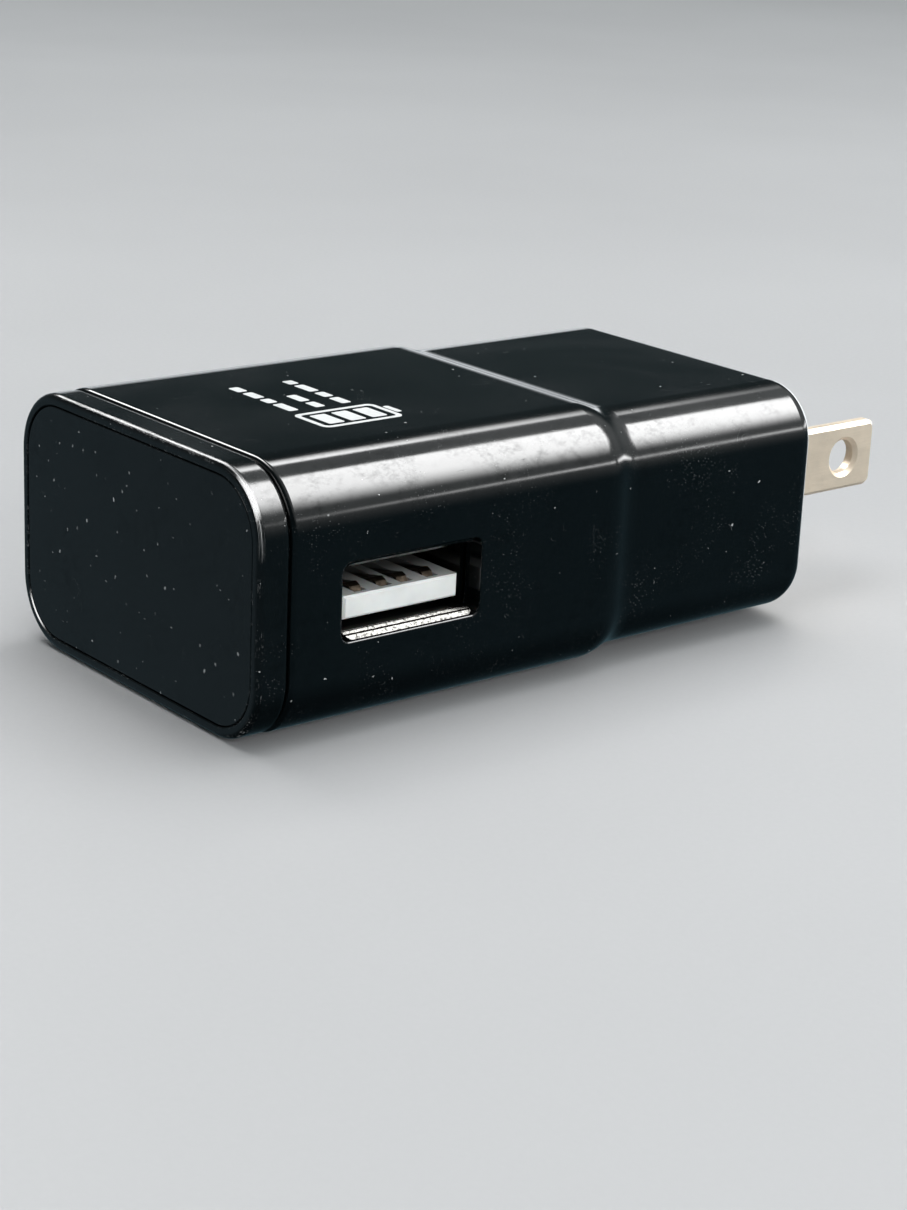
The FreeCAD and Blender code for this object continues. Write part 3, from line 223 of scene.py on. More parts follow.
def fibres(g):
    """A few short curled fibres: lines where a distorted noise crosses one value, in small patches."""
    where = g.stretch((1.0, 1.0, 1.0), (0.4, 0.2, 0.7))
    contour = g.noise(420.0, 0.0, 0.5, where, 3.0)
    line = g.product(g.ramp(contour, 0.4985, 0.5), g.ramp(contour, 0.5015, 0.5))
    return g.product(line, g.ramp(g.noise(330.0, 1.0, 0.5), 0.70, 0.72))


def dust_and_flakes(g, flakes, dust, mark):
    """Spots (flakes, dust and fibres) and a film of fine dust. The mark is the flakes' size."""
    upright = ragged(g, g.stretch((1.0, 1.0, 0.8)), 0.3 * MM)
    lying = ragged(g, g.stretch((0.5, 0.5, 1.0), (0.5, 0.0, 0.3)), 0.3 * MM)
    large = specks(g, 950.0, mark, flakes, upright)
    small = g.math("MAXIMUM", specks(g, 2300.0, 0.12, dust, upright), specks(g, 1900.0, 0.12, dust, lying))
    spots = g.math("MAXIMUM", g.math("MAXIMUM", large, small), g.product(fibres(g), 0.6))
    film = g.product(specks(g, 5200.0, 0.30, 0.35), g.ramp(g.noise(210.0, 3.0, 0.6), 0.5, 0.66), 0.12)
    return spots, film


def rim_wear_and_highlight(g, streaks, chips):
    """Pale wear on the streaked rim: patches all round, and at the upper port-side corner a band that is
    partly wear and partly painted highlight.
    """
    patches = g.ramp(g.noise(420.0, 3.0, 0.7), 0.48, 0.60)
    all_round = g.product(streaks, chips, patches, 0.35)
    place = g.place()
    port_side = g.ramp(place["Y"], CAP_CORNER.y + 5.0 * MM, CAP_CORNER.y + 2.5 * MM)
    upper_side = g.ramp(place["Z"], CAP_CORNER.z - 6.5 * MM, CAP_CORNER.z - 3.5 * MM)
    # At the corner the pale streaks are partly wear and partly a painted highlight.
    corner_wear_and_highlight = g.product(streaks, port_side, upper_side, 0.5)
    return g.math("MAXIMUM", all_round, corner_wear_and_highlight)


def glossy_black(name, base, roughness, flakes, dust, worn, streaked=False, mark=0.11):
    """Polished black moulding with faint smears, fine scratches, dust, flakes and scuffed edges."""
    g = Graph(name)
    smear = g.noise(60.0, 4.0, 0.6, g.stretch((0.6, 1.0, 1.0), (0.2, 0.1, 0.5)), 0.8)
    scratches = g.math("MAXIMUM", hairlines(g, 6200.0, (0.1, 0.2, 0.35), 0.72, 0.78),
                       hairlines(g, 5300.0, (0.9, -0.3, 1.2), 0.72, 0.78))
    edge = g.edges(0.3 * MM, 0.015, 0.25)
    chips = g.ramp(g.noise(2600.0, 4.0, 0.75), 0.52, 0.60)
    patches = g.ramp(g.noise(120.0, 2.0, 0.5), 0.47, 0.60)
    scuff = g.product(edge, chips, patches, worn)
    spots, film = dust_and_flakes(g, flakes, dust, mark)
    grey = g.math("MAXIMUM", spots, g.math("MAXIMUM", scuff, film), clamp=True)
    if streaked:
        streaks = rim_streaks(g)
        # On the rim the grey holds wear and, at the corner, a painted highlight.
        grey = g.math("MAXIMUM", grey, rim_wear_and_highlight(g, streaks, chips), clamp=True)
    tint = g.mix(g.ramp(smear, 0.3, 0.75), base, [c * 1.4 for c in base])
    tint = g.mix(g.product(scratches, 0.05), tint, SCRATCH_GREY)
    rough = g.ramp(smear, 0.35, 0.72, roughness * 0.8, roughness * 1.5)
    rough = g.math("ADD", rough, g.product(scratches, 0.15))
    rough = g.math("ADD", rough, g.product(grey, 0.4), clamp=True)
    peel = g.bump(g.noise(700.0, 2.0, 0.4), 0.003 * MM, 0.3)
    height = g.math("SUBTRACT", grey, g.product(scratches, 0.6))
    if streaked:
        height = g.math("SUBTRACT", height, g.product(streaks, 1.2))
    haze = g.ramp(g.noise(1500.0, 5.0, 0.7, g.stretch((0.7, 1.0, 1.0), (0.1, 0.3, 0.2))), 0.46, 0.68)
    haze = g.product(haze, g.ramp(g.noise(170.0, 3.0, 0.6), 0.42, 0.62))
    g.set(Base_Color=g.mix(grey, tint, DUST_GREY), Roughness=rough, IOR=1.5)
    g.set(Normal=g.bump(height, 0.006 * MM, 0.5, peel), Specular_IOR_Level=g.ramp(haze, 0.0, 1.0, 0.5, 0.30))
    return g.material


def rolled_tone(g, base, lines):
    """Colour of rolled sheet or drawn wire: soft clouds and fine darker lines."""
    cloud = g.ramp(g.noise(260.0, 4.0, 0.6), 0.35, 0.7)
    colour = g.mix(cloud, base, [c * 0.86 for c in base])
    return g.mix(g.product(g.ramp(lines, 0.4, 0.7), 0.22), colour, [c * 0.7 for c in base])


def plated_metal(name, base, roughness, direction, tarnish, metallic=1.0):
    """Plated sheet or wire: fine lines along one direction, soft spots, brighter at its edges."""
    g = Graph(name)
    where = g.stretch(direction)
    lines = g.noise(3800.0, 3.0, 0.65, where)
    scrape = g.ramp(g.noise(1500.0, 2.0, 0.7, where), 0.62, 0.7)
    edge = g.edges(0.22 * MM, 0.02, 0.4)
    colour = rolled_tone(g, base, lines)
    colour = g.mix(g.product(edge, 0.35), colour, [min(1.0, c * 1.2) for c in base])
    spots = g.ramp(g.noise(900.0, 5.0, 0.7), 0.62, 0.72)
    colour = g.mix(g.product(spots, tarnish), colour, TARNISH_BROWN)
    rough = g.ramp(lines, 0.3, 0.7, roughness * 0.8, roughness * 1.35)
    rough = g.math("SUBTRACT", rough, g.product(scrape, roughness * 0.3))
    rough = g.math("ADD", rough, g.product(spots, 0.15 * tarnish), clamp=True)
    height = g.math("ADD", g.product(lines, 0.6), g.product(scrape, -0.5))
    g.set(Base_Color=colour, Metallic=metallic, Roughness=rough, Normal=g.bump(height, 0.004 * MM, 0.5))
    return g.material


def lean_outwards(g, share):
    """Shading normal that leans towards -Y, out of the socket, by a share of its length."""
    lean = g.add("ShaderNodeCombineXYZ")
    g.link(g.product(share, -1.0), lean.inputs["Y"])
    leaned = g.add("ShaderNodeVectorMath", operation="ADD")
    g.link(g.add("ShaderNodeNewGeometry").outputs["Normal"], leaned.inputs[0])
    g.link(lean.outputs[0], leaned.inputs[1])
    unit = g.add("ShaderNodeVectorMath", operation="NORMALIZE")
    g.link(leaned.outputs[0], unit.inputs[0])
    return unit.outputs[0]


def lip_crease(g, depth, crease_y):
    """Thin, slightly wandering and broken line where the lip's two bends meet, used for a dent and for
    painted shade.
    """
    wander = g.product(g.math("SUBTRACT", g.noise(1500.0, 3.0, 0.7), 0.5), 0.12 * MM)
    away = g.math("ABSOLUTE", g.math("SUBTRACT", g.math("ADD", depth, wander), crease_y))
    unbroken = g.ramp(g.noise(1200.0, 2.0, 0.6), 0.30, 0.38)
    return g.product(g.ramp(away, 0.09 * MM, 0.05 * MM), unbroken)


def shell_metal(name, base, lip_back_y, crease_y):
    """Nickel sheet with painted shade inside the socket. Its lips have a crease painted dark as shade, and a
    pressed texture.
    """
    g = Graph(name)
    depth = g.place()["Y"]
    lines = g.noise(3800.0, 3.0, 0.65, g.stretch((0.05, 1, 1)))
    on_lip = g.ramp(depth, lip_back_y + 0.15 * MM, lip_back_y)
    pressed = g.product(g.ramp(g.noise(3400.0, 4.0, 0.75), 0.50, 0.60), on_lip)
    crease = lip_crease(g, depth, crease_y)
    colour = rolled_tone(g, base, lines)
    # Painted shade: the sheet darkens deeper into the socket.
    colour = g.mix(g.ramp(depth, lip_back_y, lip_back_y + 0.9 * MM), colour, [c * 0.12 for c in base])
    colour = g.mix(on_lip, colour, [c * 0.14 for c in base])
    colour = g.mix(g.product(pressed, 0.92), colour, PRESSED_DARK)
    # Painted shade along the crease between the lip's bends.
    colour = g.mix(crease, colour, CREASE_SHADE_DARK)
    rough = g.math("ADD", g.ramp(lines, 0.3, 0.7, 0.13, 0.22), g.product(pressed, 0.12))
    # The gentle first bend is shaded as if it leaned further out, so that it shines like the second.
    first_bend = g.product(on_lip, g.ramp(depth, crease_y, crease_y + 0.08 * MM))
    leaned = lean_outwards(g, g.product(first_bend, 0.42))
    height = g.math("SUBTRACT", g.product(lines, 0.6), g.product(crease, 3.0))
    g.set(Base_Color=colour, Metallic=1.0, Roughness=rough, Normal=g.bump(height, 0.004 * MM, 0.5, leaned))
    return g.material


def moulded(name, base, roughness, grain=2600.0, depth=0.004, scatter=0.0, speckle=0.0,
            speck_colour=(0.5, 0.5, 0.5), shade_from_y=None):
    """Plain moulded plastic or ceramic with a fine skin, soft mottling and optional flecks.

    Given a place on Y, it gets painted shade along +Y from there, darker deeper in, as shade falls inside a
    socket.
    """
    g = Graph(name)
    skin = g.noise(grain, 3.0, 0.6)
    mottle = g.noise(240.0, 3.0, 0.5)
    edge = g.edges(0.12 * MM, 0.02, 0.4)
    colour = g.mix(g.ramp(mottle, 0.3, 0.7), base, [c * 0.8 for c in base])
    colour = g.mix(g.product(edge, 0.18), colour, [min(1.0, c * 1.4 + 0.02) for c in base])
    if speckle:
        colour = g.mix(specks(g, 2600.0, 0.22, speckle), colour, speck_colour)
    if shade_from_y is not None:
        # Painted shade: the colour darkens towards the socket's back, where shade falls.
        painted_shade = g.ramp(g.place()["Y"], shade_from_y, shade_from_y + 4.5 * MM, 0.0, 0.85)
        colour = g.mix(painted_shade, colour, SOCKET_SHADE_DARK)
    rough = g.ramp(skin, 0.3, 0.7, roughness * 0.85, min(1.0, roughness * 1.2))
    g.set(Base_Color=colour, Roughness=rough, Normal=g.bump(skin, depth * MM, 0.6))
    if scatter:
        g.set(Subsurface_Weight=scatter, Subsurface_Scale=0.4 * MM)
    return g.material


def wound_wire(name, base, pitch):
    """Enamelled wire laid side by side along X, with painted shade in the gaps between turns and a varnish
    coat.
    """
    g = Graph(name)
    half_phase = g.product(g.place()["X"], math.pi / pitch)
    wobble = g.product(g.noise(500.0, 2.0, 0.5), 1.2)
    ridge = g.math("ABSOLUTE", g.math("SINE", g.math("ADD", half_phase, wobble)))
    tone = g.noise(900.0, 3.0, 0.6, g.stretch((4.0, 0.2, 0.2)))
    # Painted shade: the colour darkens to a quarter in the gaps between turns.
    colour = g.mix(g.ramp(ridge, 0.0, 0.5), [c * 0.25 for c in base], base)
    colour = g.mix(g.product(g.ramp(tone, 0.4, 0.7), 0.35), colour, [c * 0.55 for c in base])
    g.set(Base_Color=colour, Metallic=0.85, Roughness=g.ramp(tone, 0.3, 0.7, 0.26, 0.42))
    g.set(Coat_Weight=0.6, Coat_Roughness=0.18, Normal=g.bump(ridge, 0.06 * MM, 0.8))
    return g.material


def tape_film(name, base, wrap):
    """Thin polyester tape: glossy film over a wrinkled adhesive."""
    g = Graph(name)
    wrinkle = g.noise(700.0, 4.0, 0.6, g.stretch(wrap), 0.4)
    bubbles = specks(g, 1500.0, 0.25, 0.12)
    colour = g.mix(g.ramp(wrinkle, 0.35, 0.7), base, [c * 0.78 for c in base])
    colour = g.mix(g.product(bubbles, 0.4), colour, [min(1.0, c * 1.3) for c in base])
    g.set(Base_Color=colour, Roughness=g.ramp(wrinkle, 0.3, 0.7, 0.22, 0.4))
    g.set(Coat_Weight=0.4, Coat_Roughness=0.1, Normal=g.bump(wrinkle, 0.02 * MM, 0.5))
    return g.material


def circuit_board(name):
    """Green lacquer over glass cloth, with copper areas showing as a lighter green."""
    g = Graph(name)
    weave = g.add("ShaderNodeTexChecker")
    weave.inputs["Scale"].default_value = 3600.0
    g.link(g.object_space, weave.inputs["Vector"])
    copper = g.ramp(g.cells(330.0, feature="DISTANCE_TO_EDGE", randomness=0.55), 0.07, 0.085)
    mottle = g.noise(500.0, 3.0, 0.6)
    dark = (0.012, 0.075, 0.030)
    colour = g.mix(copper, dark, (0.030, 0.170, 0.060))
    colour = g.mix(g.product(weave.outputs["Fac"], 0.12), colour, (0.05, 0.2, 0.09))
    colour = g.mix(g.product(g.ramp(mottle, 0.4, 0.7), 0.3), colour, dark)
    height = g.math("ADD", copper, g.product(weave.outputs["Fac"], 0.1))
    g.set(Base_Color=colour, Roughness=g.ramp(mottle, 0.3, 0.7, 0.24, 0.38))
    g.set(Normal=g.bump(height, 0.03 * MM, 0.6), Coat_Weight=0.3, Coat_Roughness=0.15)
    return g.material


def printed_ink(name):
    """White pad-printed ink with a faintly uneven film."""
    g = Graph(name)
    film = g.noise(2400.0, 4.0, 0.6)
    thin = g.ramp(g.noise(700.0, 3.0, 0.6), 0.55, 0.75)
    colour = g.mix(thin, (0.86, 0.87, 0.87), (0.70, 0.71, 0.71))
    g.set(Base_Color=colour, Roughness=g.ramp(film, 0.3, 0.7, 0.5, 0.65))
    g.set(Normal=g.bump(film, 0.003 * MM, 0.5))
    return g.material


def paint(names, material):
    """Gives CAD nodes a material and leaves their shape alone."""
    for name in names:
        mesh = nodes[name].data
        mesh.materials.clear()
        mesh.materials.append(material)


# ---------------------------------------------------------------- outside pieces

BLACK = (0.0011, 0.0017, 0.0020)
PLATE_BLACK = (0.0030, 0.0036, 0.0040)
paint(["main_housing"], glossy_black(
    "housing_gloss", BLACK, roughness=0.12, flakes=0.014, dust=0.022, worn=0.4))
paint(["end_cap"], glossy_black(
    "cap_gloss", BLACK, roughness=0.14, flakes=0.03, dust=0.05, worn=0.45, streaked=True))
paint(["end_plate"], glossy_black(
    "plate_gloss", PLATE_BLACK, roughness=0.12, flakes=0.12, dust=0.12, worn=0.4, mark=0.14))
NICKEL = (0.92, 0.78, 0.62)
paint(["line_blade", "neutral_blade"], plated_metal(
    "blade_nickel", NICKEL, roughness=0.40, direction=(0.05, 1, 1), tarnish=0.12, metallic=0.45))
LIP_FRONT_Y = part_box("usb_shell")[0].y
LIP_BACK_Y = LIP_FRONT_Y + 0.85 * MM
CREASE_Y = LIP_FRONT_Y + 0.40 * MM
paint(["usb_shell"], shell_metal(
    "shell_nickel", (0.55, 0.54, 0.51), lip_back_y=LIP_BACK_Y, crease_y=CREASE_Y))
TONGUE_FRONT_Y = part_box("usb_insulator")[0].y
# The tongue gets painted shade that deepens into the socket.
paint(["usb_insulator"], moulded(
    "insulator_nylon", (0.90, 0.92, 0.90), roughness=0.42, grain=3200.0, depth=0.003, scatter=0.12,
    shade_from_y=TONGUE_FRONT_Y + 0.25 * MM))
spring_nodes = [name for name in nodes if name.startswith("contact_spring_")]
# The contacts' bronze is far darker than the clips': painted shade for their place inside the socket.
paint(spring_nodes, plated_metal(
    "contact_bronze_shaded", (0.080, 0.063, 0.047), roughness=0.50, direction=(1, 0.05, 1), tarnish=0.1))
paint(["usb_contact_tails"], plated_metal(
    "contact_tail_gold", (0.60, 0.46, 0.28), roughness=0.28, direction=(1, 0.05, 1), tarnish=0.3))

# ---------------------------------------------------------------- inside pieces

paint(["blade_carrier"], moulded("carrier_moulding", (0.035, 0.035, 0.038), roughness=0.5))
paint(["line_clip", "neutral_clip"], plated_metal(
    "clip_bronze", (0.66, 0.45, 0.20), roughness=0.32, direction=(1, 1, 0.05), tarnish=0.35))
FERRITE = (0.030, 0.030, 0.033)
paint(["core_half_plug_end", "core_half_cap_end"], moulded(
    "core_ferrite", FERRITE, roughness=0.62, grain=4200.0, depth=0.012, speckle=0.2,
    speck_colour=(0.13, 0.13, 0.14)))
paint(["transformer_bobbin"], moulded("bobbin_moulding", (0.022, 0.022, 0.024), roughness=0.48))
COPPER = (0.62, 0.22, 0.075)
paint(["primary_winding"], wound_wire("primary_wire", COPPER, pitch=0.24 * MM))
paint(["secondary_winding"], wound_wire("secondary_wire", (0.70, 0.30, 0.10), pitch=0.52 * MM))
paint(["winding_tape"], tape_film("winding_tape_film", (0.74, 0.52, 0.05), wrap=(0.2, 1, 1)))
paint(["core_tape"], tape_film("core_tape_film", (0.70, 0.48, 0.04), wrap=(1, 1, 0.2)))
paint(["bulk_capacitor_cans", "output_capacitor_cans"], plated_metal(
    "can_aluminium", (0.80, 0.80, 0.81), roughness=0.30, direction=(1, 1, 0.06), tarnish=0.08))
paint(["bulk_capacitor_sleeves"], tape_film("capacitor_sleeve", (0.012, 0.022, 0.05), wrap=(1, 0.3, 1)))
paint(["choke_sleeve", "resistor_sleeve"], tape_film(
    "shrunk_sleeve", (0.018, 0.018, 0.018), wrap=(0.3, 1, 1)))
paint(["bulk_capacitor_bungs", "output_capacitor_bungs"], moulded(
    "bung_rubber", (0.025, 0.025, 0.026), roughness=0.75, grain=1800.0, depth=0.02))
wire_nodes = ["transformer_pins", "bulk_capacitor_leads", "component_leads", "package_leads"]
paint(wire_nodes, plated_metal(
    "tinned_wire", (0.74, 0.74, 0.73), roughness=0.34, direction=(1, 1, 0.08), tarnish=0.15))
paint(["solder_joints"], plated_metal(
    "solder_bright", (0.80, 0.80, 0.82), roughness=0.18, direction=(1, 1, 1), tarnish=0.1))
paint(["input_choke"], moulded(
    "choke_ferrite", (0.035, 0.035, 0.04), roughness=0.6, grain=3600.0, depth=0.015))
paint(["fusible_resistor"], moulded(
    "resistor_enamel", (0.16, 0.33, 0.38), roughness=0.45, grain=2200.0, depth=0.01, speckle=0.1,
    speck_colour=(0.1, 0.2, 0.25)))
paint(["y_capacitor"], moulded("disc_epoxy", (0.02, 0.10, 0.42), roughness=0.32, grain=1400.0, depth=0.02))
PACKAGE = (0.020, 0.020, 0.022)
package_nodes = ["primary_controller", "protocol_controller", "bridge_rectifier", "primary_switch"]
paint(package_nodes + ["output_rectifier", "snubber_diodes"], moulded(
    "package_epoxy", PACKAGE, roughness=0.55, grain=5200.0, depth=0.006, speckle=0.15,
    speck_colour=(0.07, 0.07, 0.07)))
paint(["chip_resistors"], moulded(
    "resistor_chip", (0.030, 0.030, 0.034), roughness=0.4, grain=3000.0, depth=0.005))
paint(["chip_capacitors"], moulded(
    "capacitor_chip", (0.36, 0.24, 0.13), roughness=0.5, grain=4200.0, depth=0.008))
paint(["main_board"], circuit_board("board_lacquer"))
paint(["isolation_barrier"], moulded(
    "barrier_paper", (0.34, 0.32, 0.26), roughness=0.8, grain=1600.0, depth=0.02))
paint(["insulation_sheet"], moulded(
    "film_polyester", (0.70, 0.70, 0.66), roughness=0.35, grain=700.0, depth=0.01))
paint(["plate_adhesive"], tape_film("adhesive_film", (0.62, 0.62, 0.58), wrap=(1, 1, 1)))

# ---------------------------------------------------------------- printed mark


def flat_shapes(name, outlines, z, thickness):
    """Thin raised ink from closed outlines of (x, y). An outline may come with holes: (outer, [holes])."""
    mesh = bpy.data.meshes.new(name)
    bm = bmesh.new()
    for outer, holes in outlines:
        loops = []
        for points in [outer] + holes:
            verts = [bm.verts.new((x, y, z)) for x, y in points]
            loops += [bm.edges.new((verts[i], verts[(i + 1) % len(verts)])) for i in range(len(verts))]
        bmesh.ops.triangle_fill(bm, edges=loops, use_beauty=True)
    bmesh.ops.recalc_face_normals(bm, faces=bm.faces[:])
    for face in bm.faces:
        if face.normal.z < 0:
            face.normal_flip()
    made = bmesh.ops.extrude_face_region(bm, geom=bm.faces[:])
    for vert in [v for v in made["geom"] if isinstance(v, bmesh.types.BMVert)]:
        vert.co.z += thickness
    bmesh.ops.recalc_face_normals(bm, faces=bm.faces[:])
    bm.to_mesh(mesh)
    bm.free()
    piece = bpy.data.objects.new(name, mesh)
    bpy.context.scene.collection.objects.link(piece)
    return piece


def round_rect(cx, cy, w, h, r, steps=6):
    """Outline of a rounded rectangle, counter-clockwise."""
    points = []
    for corner, (sx, sy) in enumerate(((1, 1), (-1, 1), (-1, -1), (1, -1))):
        for i in range(steps + 1):
            a = math.radians(90 * corner + 90 * i / steps)
            points.append((cx + sx * (w / 2 - r) + r * math.cos(a), cy + sy * (h / 2 - r) + r * math.sin(a)))
    return points


BATTERY_CENTRE = (-42.7, -5.7)     # mm, like the mark's other sizes, apart from the ink's
BATTERY_SIZE = (7.8, 4.6)
BATTERY_LINE = 0.45
BATTERY_RADIUS = 0.7
HOLE_RADIUS = 0.4
SMALL_RADIUS = 0.2                 # of the bars, the terminal and the dashes
TERMINAL_SIZE = (0.55, 2.0)
BAR_SIZE = (1.5, 2.8)
BAR_PITCH = 2.1
BARS = 3
DASH_ROWS = ((-45.5, (2.4, 1.3, 1.9, 1.5)), (-42.9, (1.6, 2.1)), (-40.3, (1.9, 1.5, 2.3, 1.2)))
DASH_WIDTH = 0.95
DASH_GAP = 0.5
ROW_START_Y = -2.3
INK_THICKNESS = 0.016 * MM
INK_SINK = 0.004 * MM              # how far the ink starts below the face, so that no gap shows


def battery_shapes():
    """Battery pictogram: an outline, its terminal and its charge bars."""
    x, y = BATTERY_CENTRE
    length, height = BATTERY_SIZE
    hole = round_rect(x, y, length - 2 * BATTERY_LINE, height - 2 * BATTERY_LINE, HOLE_RADIUS)
    shapes = [(round_rect(x, y, length, height, BATTERY_RADIUS), [hole])]
    terminal_x = x + length / 2 + BATTERY_LINE
    shapes.append((round_rect(terminal_x, y, *TERMINAL_SIZE, SMALL_RADIUS), []))
    for i in range(BARS):
        bar_x = x + BAR_PITCH * (i - (BARS - 1) / 2)
        shapes.append((round_rect(bar_x, y, *BAR_SIZE, SMALL_RADIUS), []))
    return shapes


def dash_shapes():
    """Rows of plain dashes that run across the body. A row is its X and its dashes' lengths."""
    shapes = []
    for row_x, lengths in DASH_ROWS:
        y = ROW_START_Y
        for length in lengths:
            shapes.append((round_rect(row_x, y + length / 2, DASH_WIDTH, length, SMALL_RADIUS), []))
            y += length + DASH_GAP
    return shapes


def build_mark():
    """Battery pictogram beside three rows of plain dashes, in white ink on the printed face."""
    top_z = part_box("main_housing")[1].z
    outlines = []
    for outer, holes in battery_shapes() + dash_shapes():
        scaled = [(x * MM, y * MM) for x, y in outer]
        outlines.append((scaled, [[(x * MM, y * MM) for x, y in hole[::-1]] for hole in holes]))
    mark = flat_shapes("printed_mark", outlines, top_z - INK_SINK, INK_THICKNESS)
    mark.data.materials.append(printed_ink("mark_ink"))
    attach(mark, "charger")


build_mark()

# ---------------------------------------------------------------- floor

FLOOR_HALF_SIZE = 4.0
FLOOR_GAP = 0.02 * MM   # keeps the floor and the rest face from lying in one plane
FLOOR_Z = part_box("main_housing")[0].z - FLOOR_GAP


def floor_material():
    """Pale matt sheet."""
    g = Graph("floor_pale")
    tone = g.noise(9.0, 3.0, 0.5)
    tooth = g.noise(1800.0, 3.0, 0.6)
    colour = g.mix(g.ramp(tone, 0.3, 0.7), (0.52, 0.52, 0.53), (0.56, 0.56, 0.57))
    g.set(Base_Color=colour, Roughness=g.ramp(tooth, 0.3, 0.7, 0.55, 0.7))
    g.set(Normal=g.bump(tooth, 0.02 * MM, 0.3))
    return g.material


def build_floor():
    """Floor that is left out of mirror-like reflections, so that the black plastic stays dark."""
    mesh = bpy.data.meshes.new("floor")
    bm = bmesh.new()
    bmesh.ops.create_grid(bm, x_segments=8, y_segments=8, size=FLOOR_HALF_SIZE)
    bm.to_mesh(mesh)
    bm.free()
    floor = bpy.data.objects.new("floor", mesh)
    floor.location.z = FLOOR_Z
    bpy.context.scene.collection.objects.link(floor)
    mesh.materials.append(floor_material())
    floor.visible_glossy = False


build_floor()

# ---------------------------------------------------------------- light


def set_fade(tree, value, start, end):
    """1 at start and 0 at end, with a smooth change between them. The tree is the one to add nodes to."""
    fade = tree.nodes.new("ShaderNodeMapRange")
    fade.interpolation_type = "SMOOTHSTEP"
    tree.links.new(value, fade.inputs["Value"])
    fade.inputs["From Min"].default_value = min(start, end)
    fade.inputs["From Max"].default_value = max(start, end)
    fade.inputs["To Min"].default_value = 1.0 if start < end else 0.0
    fade.inputs["To Max"].default_value = 0.0 if start < end else 1.0
    return fade.outputs["Result"]


def multiply(tree, a, b):
    """Product of two values, each a number or a node's output."""
    node = tree.nodes.new("ShaderNodeMath")
    node.operation = "MULTIPLY"
    for socket, value in zip(node.inputs, (a, b)):
        if isinstance(value, bpy.types.NodeSocket):
            tree.links.new(value, socket)
        else:
            socket.default_value = value
    return node.outputs[0]


RING_CENTRE = Vector((-0.035, -0.011, 0.005))   # inside the rounded upper edge on the port side
RING_RADIUS = 0.45
CAP_RIM = Vector((-0.058, -0.008, 0.010))         # on the cap's upper rim
STEP_EDGE = Vector((-0.0225, -0.0165, 0.006))     # on the soft step, port side


def highlight_panel(name, place, along, outward, length, width, radiance, fades):
    """Rectangular light that shows only as a highlight. It faces against the outward direction.

    The fades are shares of the size that are soft: at the near end, at the far end,
    at the lower edge and at
    the upper edge.
    """
    data = bpy.data.lights.new(name, "AREA")
    data.shape = "RECTANGLE"
    data.size = length
    data.size_y = width
    data.energy = radiance * math.pi * length * width
    data.use_nodes = True
    tree = data.node_tree
    geometry = tree.nodes.new("ShaderNodeNewGeometry")
    split = tree.nodes.new("ShaderNodeSeparateXYZ")
    tree.links.new(geometry.outputs["Parametric"], split.inputs[0])
    near, far, lower, upper = fades
    strength = 1.0
    for axis, first, last in (("X", near, far), ("Y", lower, upper)):
        strength = multiply(tree, strength, set_fade(tree, split.outputs[axis], first, 0.0))
        strength = multiply(tree, strength, set_fade(tree, split.outputs[axis], 1 - last, 1.0))
    tree.links.new(strength, tree.nodes["Emission"].inputs["Strength"])
    light = bpy.data.objects.new(name, data)
    turn = Matrix((along, outward.cross(along), outward)).transposed().to_4x4()
    light.matrix_world = Matrix.Translation(place) @ turn
    light.visible_diffuse = False
    bpy.context.scene.collection.objects.link(light)
    return light


def ring_light(name, lean_deg, x, length, width, radiance, fades):
    """Highlight panel on a ring round the charger's long axis, centred x along it from the ring's centre.

    The lean is measured from straight up towards the port side.
    """
    lean = math.radians(lean_deg)
    outward = Vector((0, -math.sin(lean), math.cos(lean)))
    place = RING_CENTRE + RING_RADIUS * outward + Vector((x, 0, 0))
    highlight_panel(name, place, Vector((1, 0, 0)), outward, length, width, radiance, fades)


def span_light(name, seen_from, start, end, width, radiance, fades):
    """Highlight panel that spans two directions, as seen from one place on the charger."""
    first = seen_from + RING_RADIUS * Vector(start).normalized()
    last = seen_from + RING_RADIUS * Vector(end).normalized()
    along = (last - first).normalized()
    middle = (first + last) / 2
    outward = middle - seen_from
    outward = (outward - outward.dot(along) * along).normalized()
    return highlight_panel(name, middle, along, outward, (last - first).length, width, radiance, fades)


def shine_on(light, names):
    """Keeps a light to the named nodes."""
    group = bpy.data.collections.new(light.name + "_receivers")
    for name in names:
        group.objects.link(nodes[name])
    light.light_linking.receiver_collection = group


def fill_light(name, place, aim, size, watts):
    """Soft light for the matt surfaces. It leaves no highlight."""
    data = bpy.data.lights.new(name, "AREA")
    data.shape = "SQUARE"
    data.size = size
    data.energy = watts
    light = bpy.data.objects.new(name, data)
    light.location = place
    light.rotation_mode = "QUATERNION"
    light.rotation_quaternion = (Vector(aim) - Vector(place)).to_track_quat("-Z", "Y")
    light.visible_glossy = False
    bpy.context.scene.collection.objects.link(light)


ring_light(
    "broad_strip", lean_deg=29.5, x=0.372, length=0.375, width=0.53, radiance=17.5,
    fades=(0.18, 0.08, 0.5, 0.08))
ring_light(
    "upper_line", lean_deg=-33.0, x=0.355, length=0.36, width=0.13, radiance=14.0,
    fades=(0.05, 0.9, 0.15, 0.85))
ring_light(
    "lower_line", lean_deg=72.0, x=0.42, length=0.42, width=0.045, radiance=12.0,
    fades=(0.7, 0.05, 0.45, 0.45))
span_light(
    "rim_top_light", seen_from=CAP_RIM, start=(0.05, 0.88, 0.46), end=(-0.16, 0.10, 0.98), width=0.16,
    radiance=17.0, fades=(0.1, 0.55, 0.3, 0.3))
rim_corner_light = span_light(
    "rim_corner_light", seen_from=CAP_RIM, start=(-0.16, 0.30, 0.94), end=(-0.40, -0.84, 0.36), width=0.85,
    radiance=24.0, fades=(0.4, 0.3, 0.12, 0.12))
shine_on(rim_corner_light, ["end_cap"])
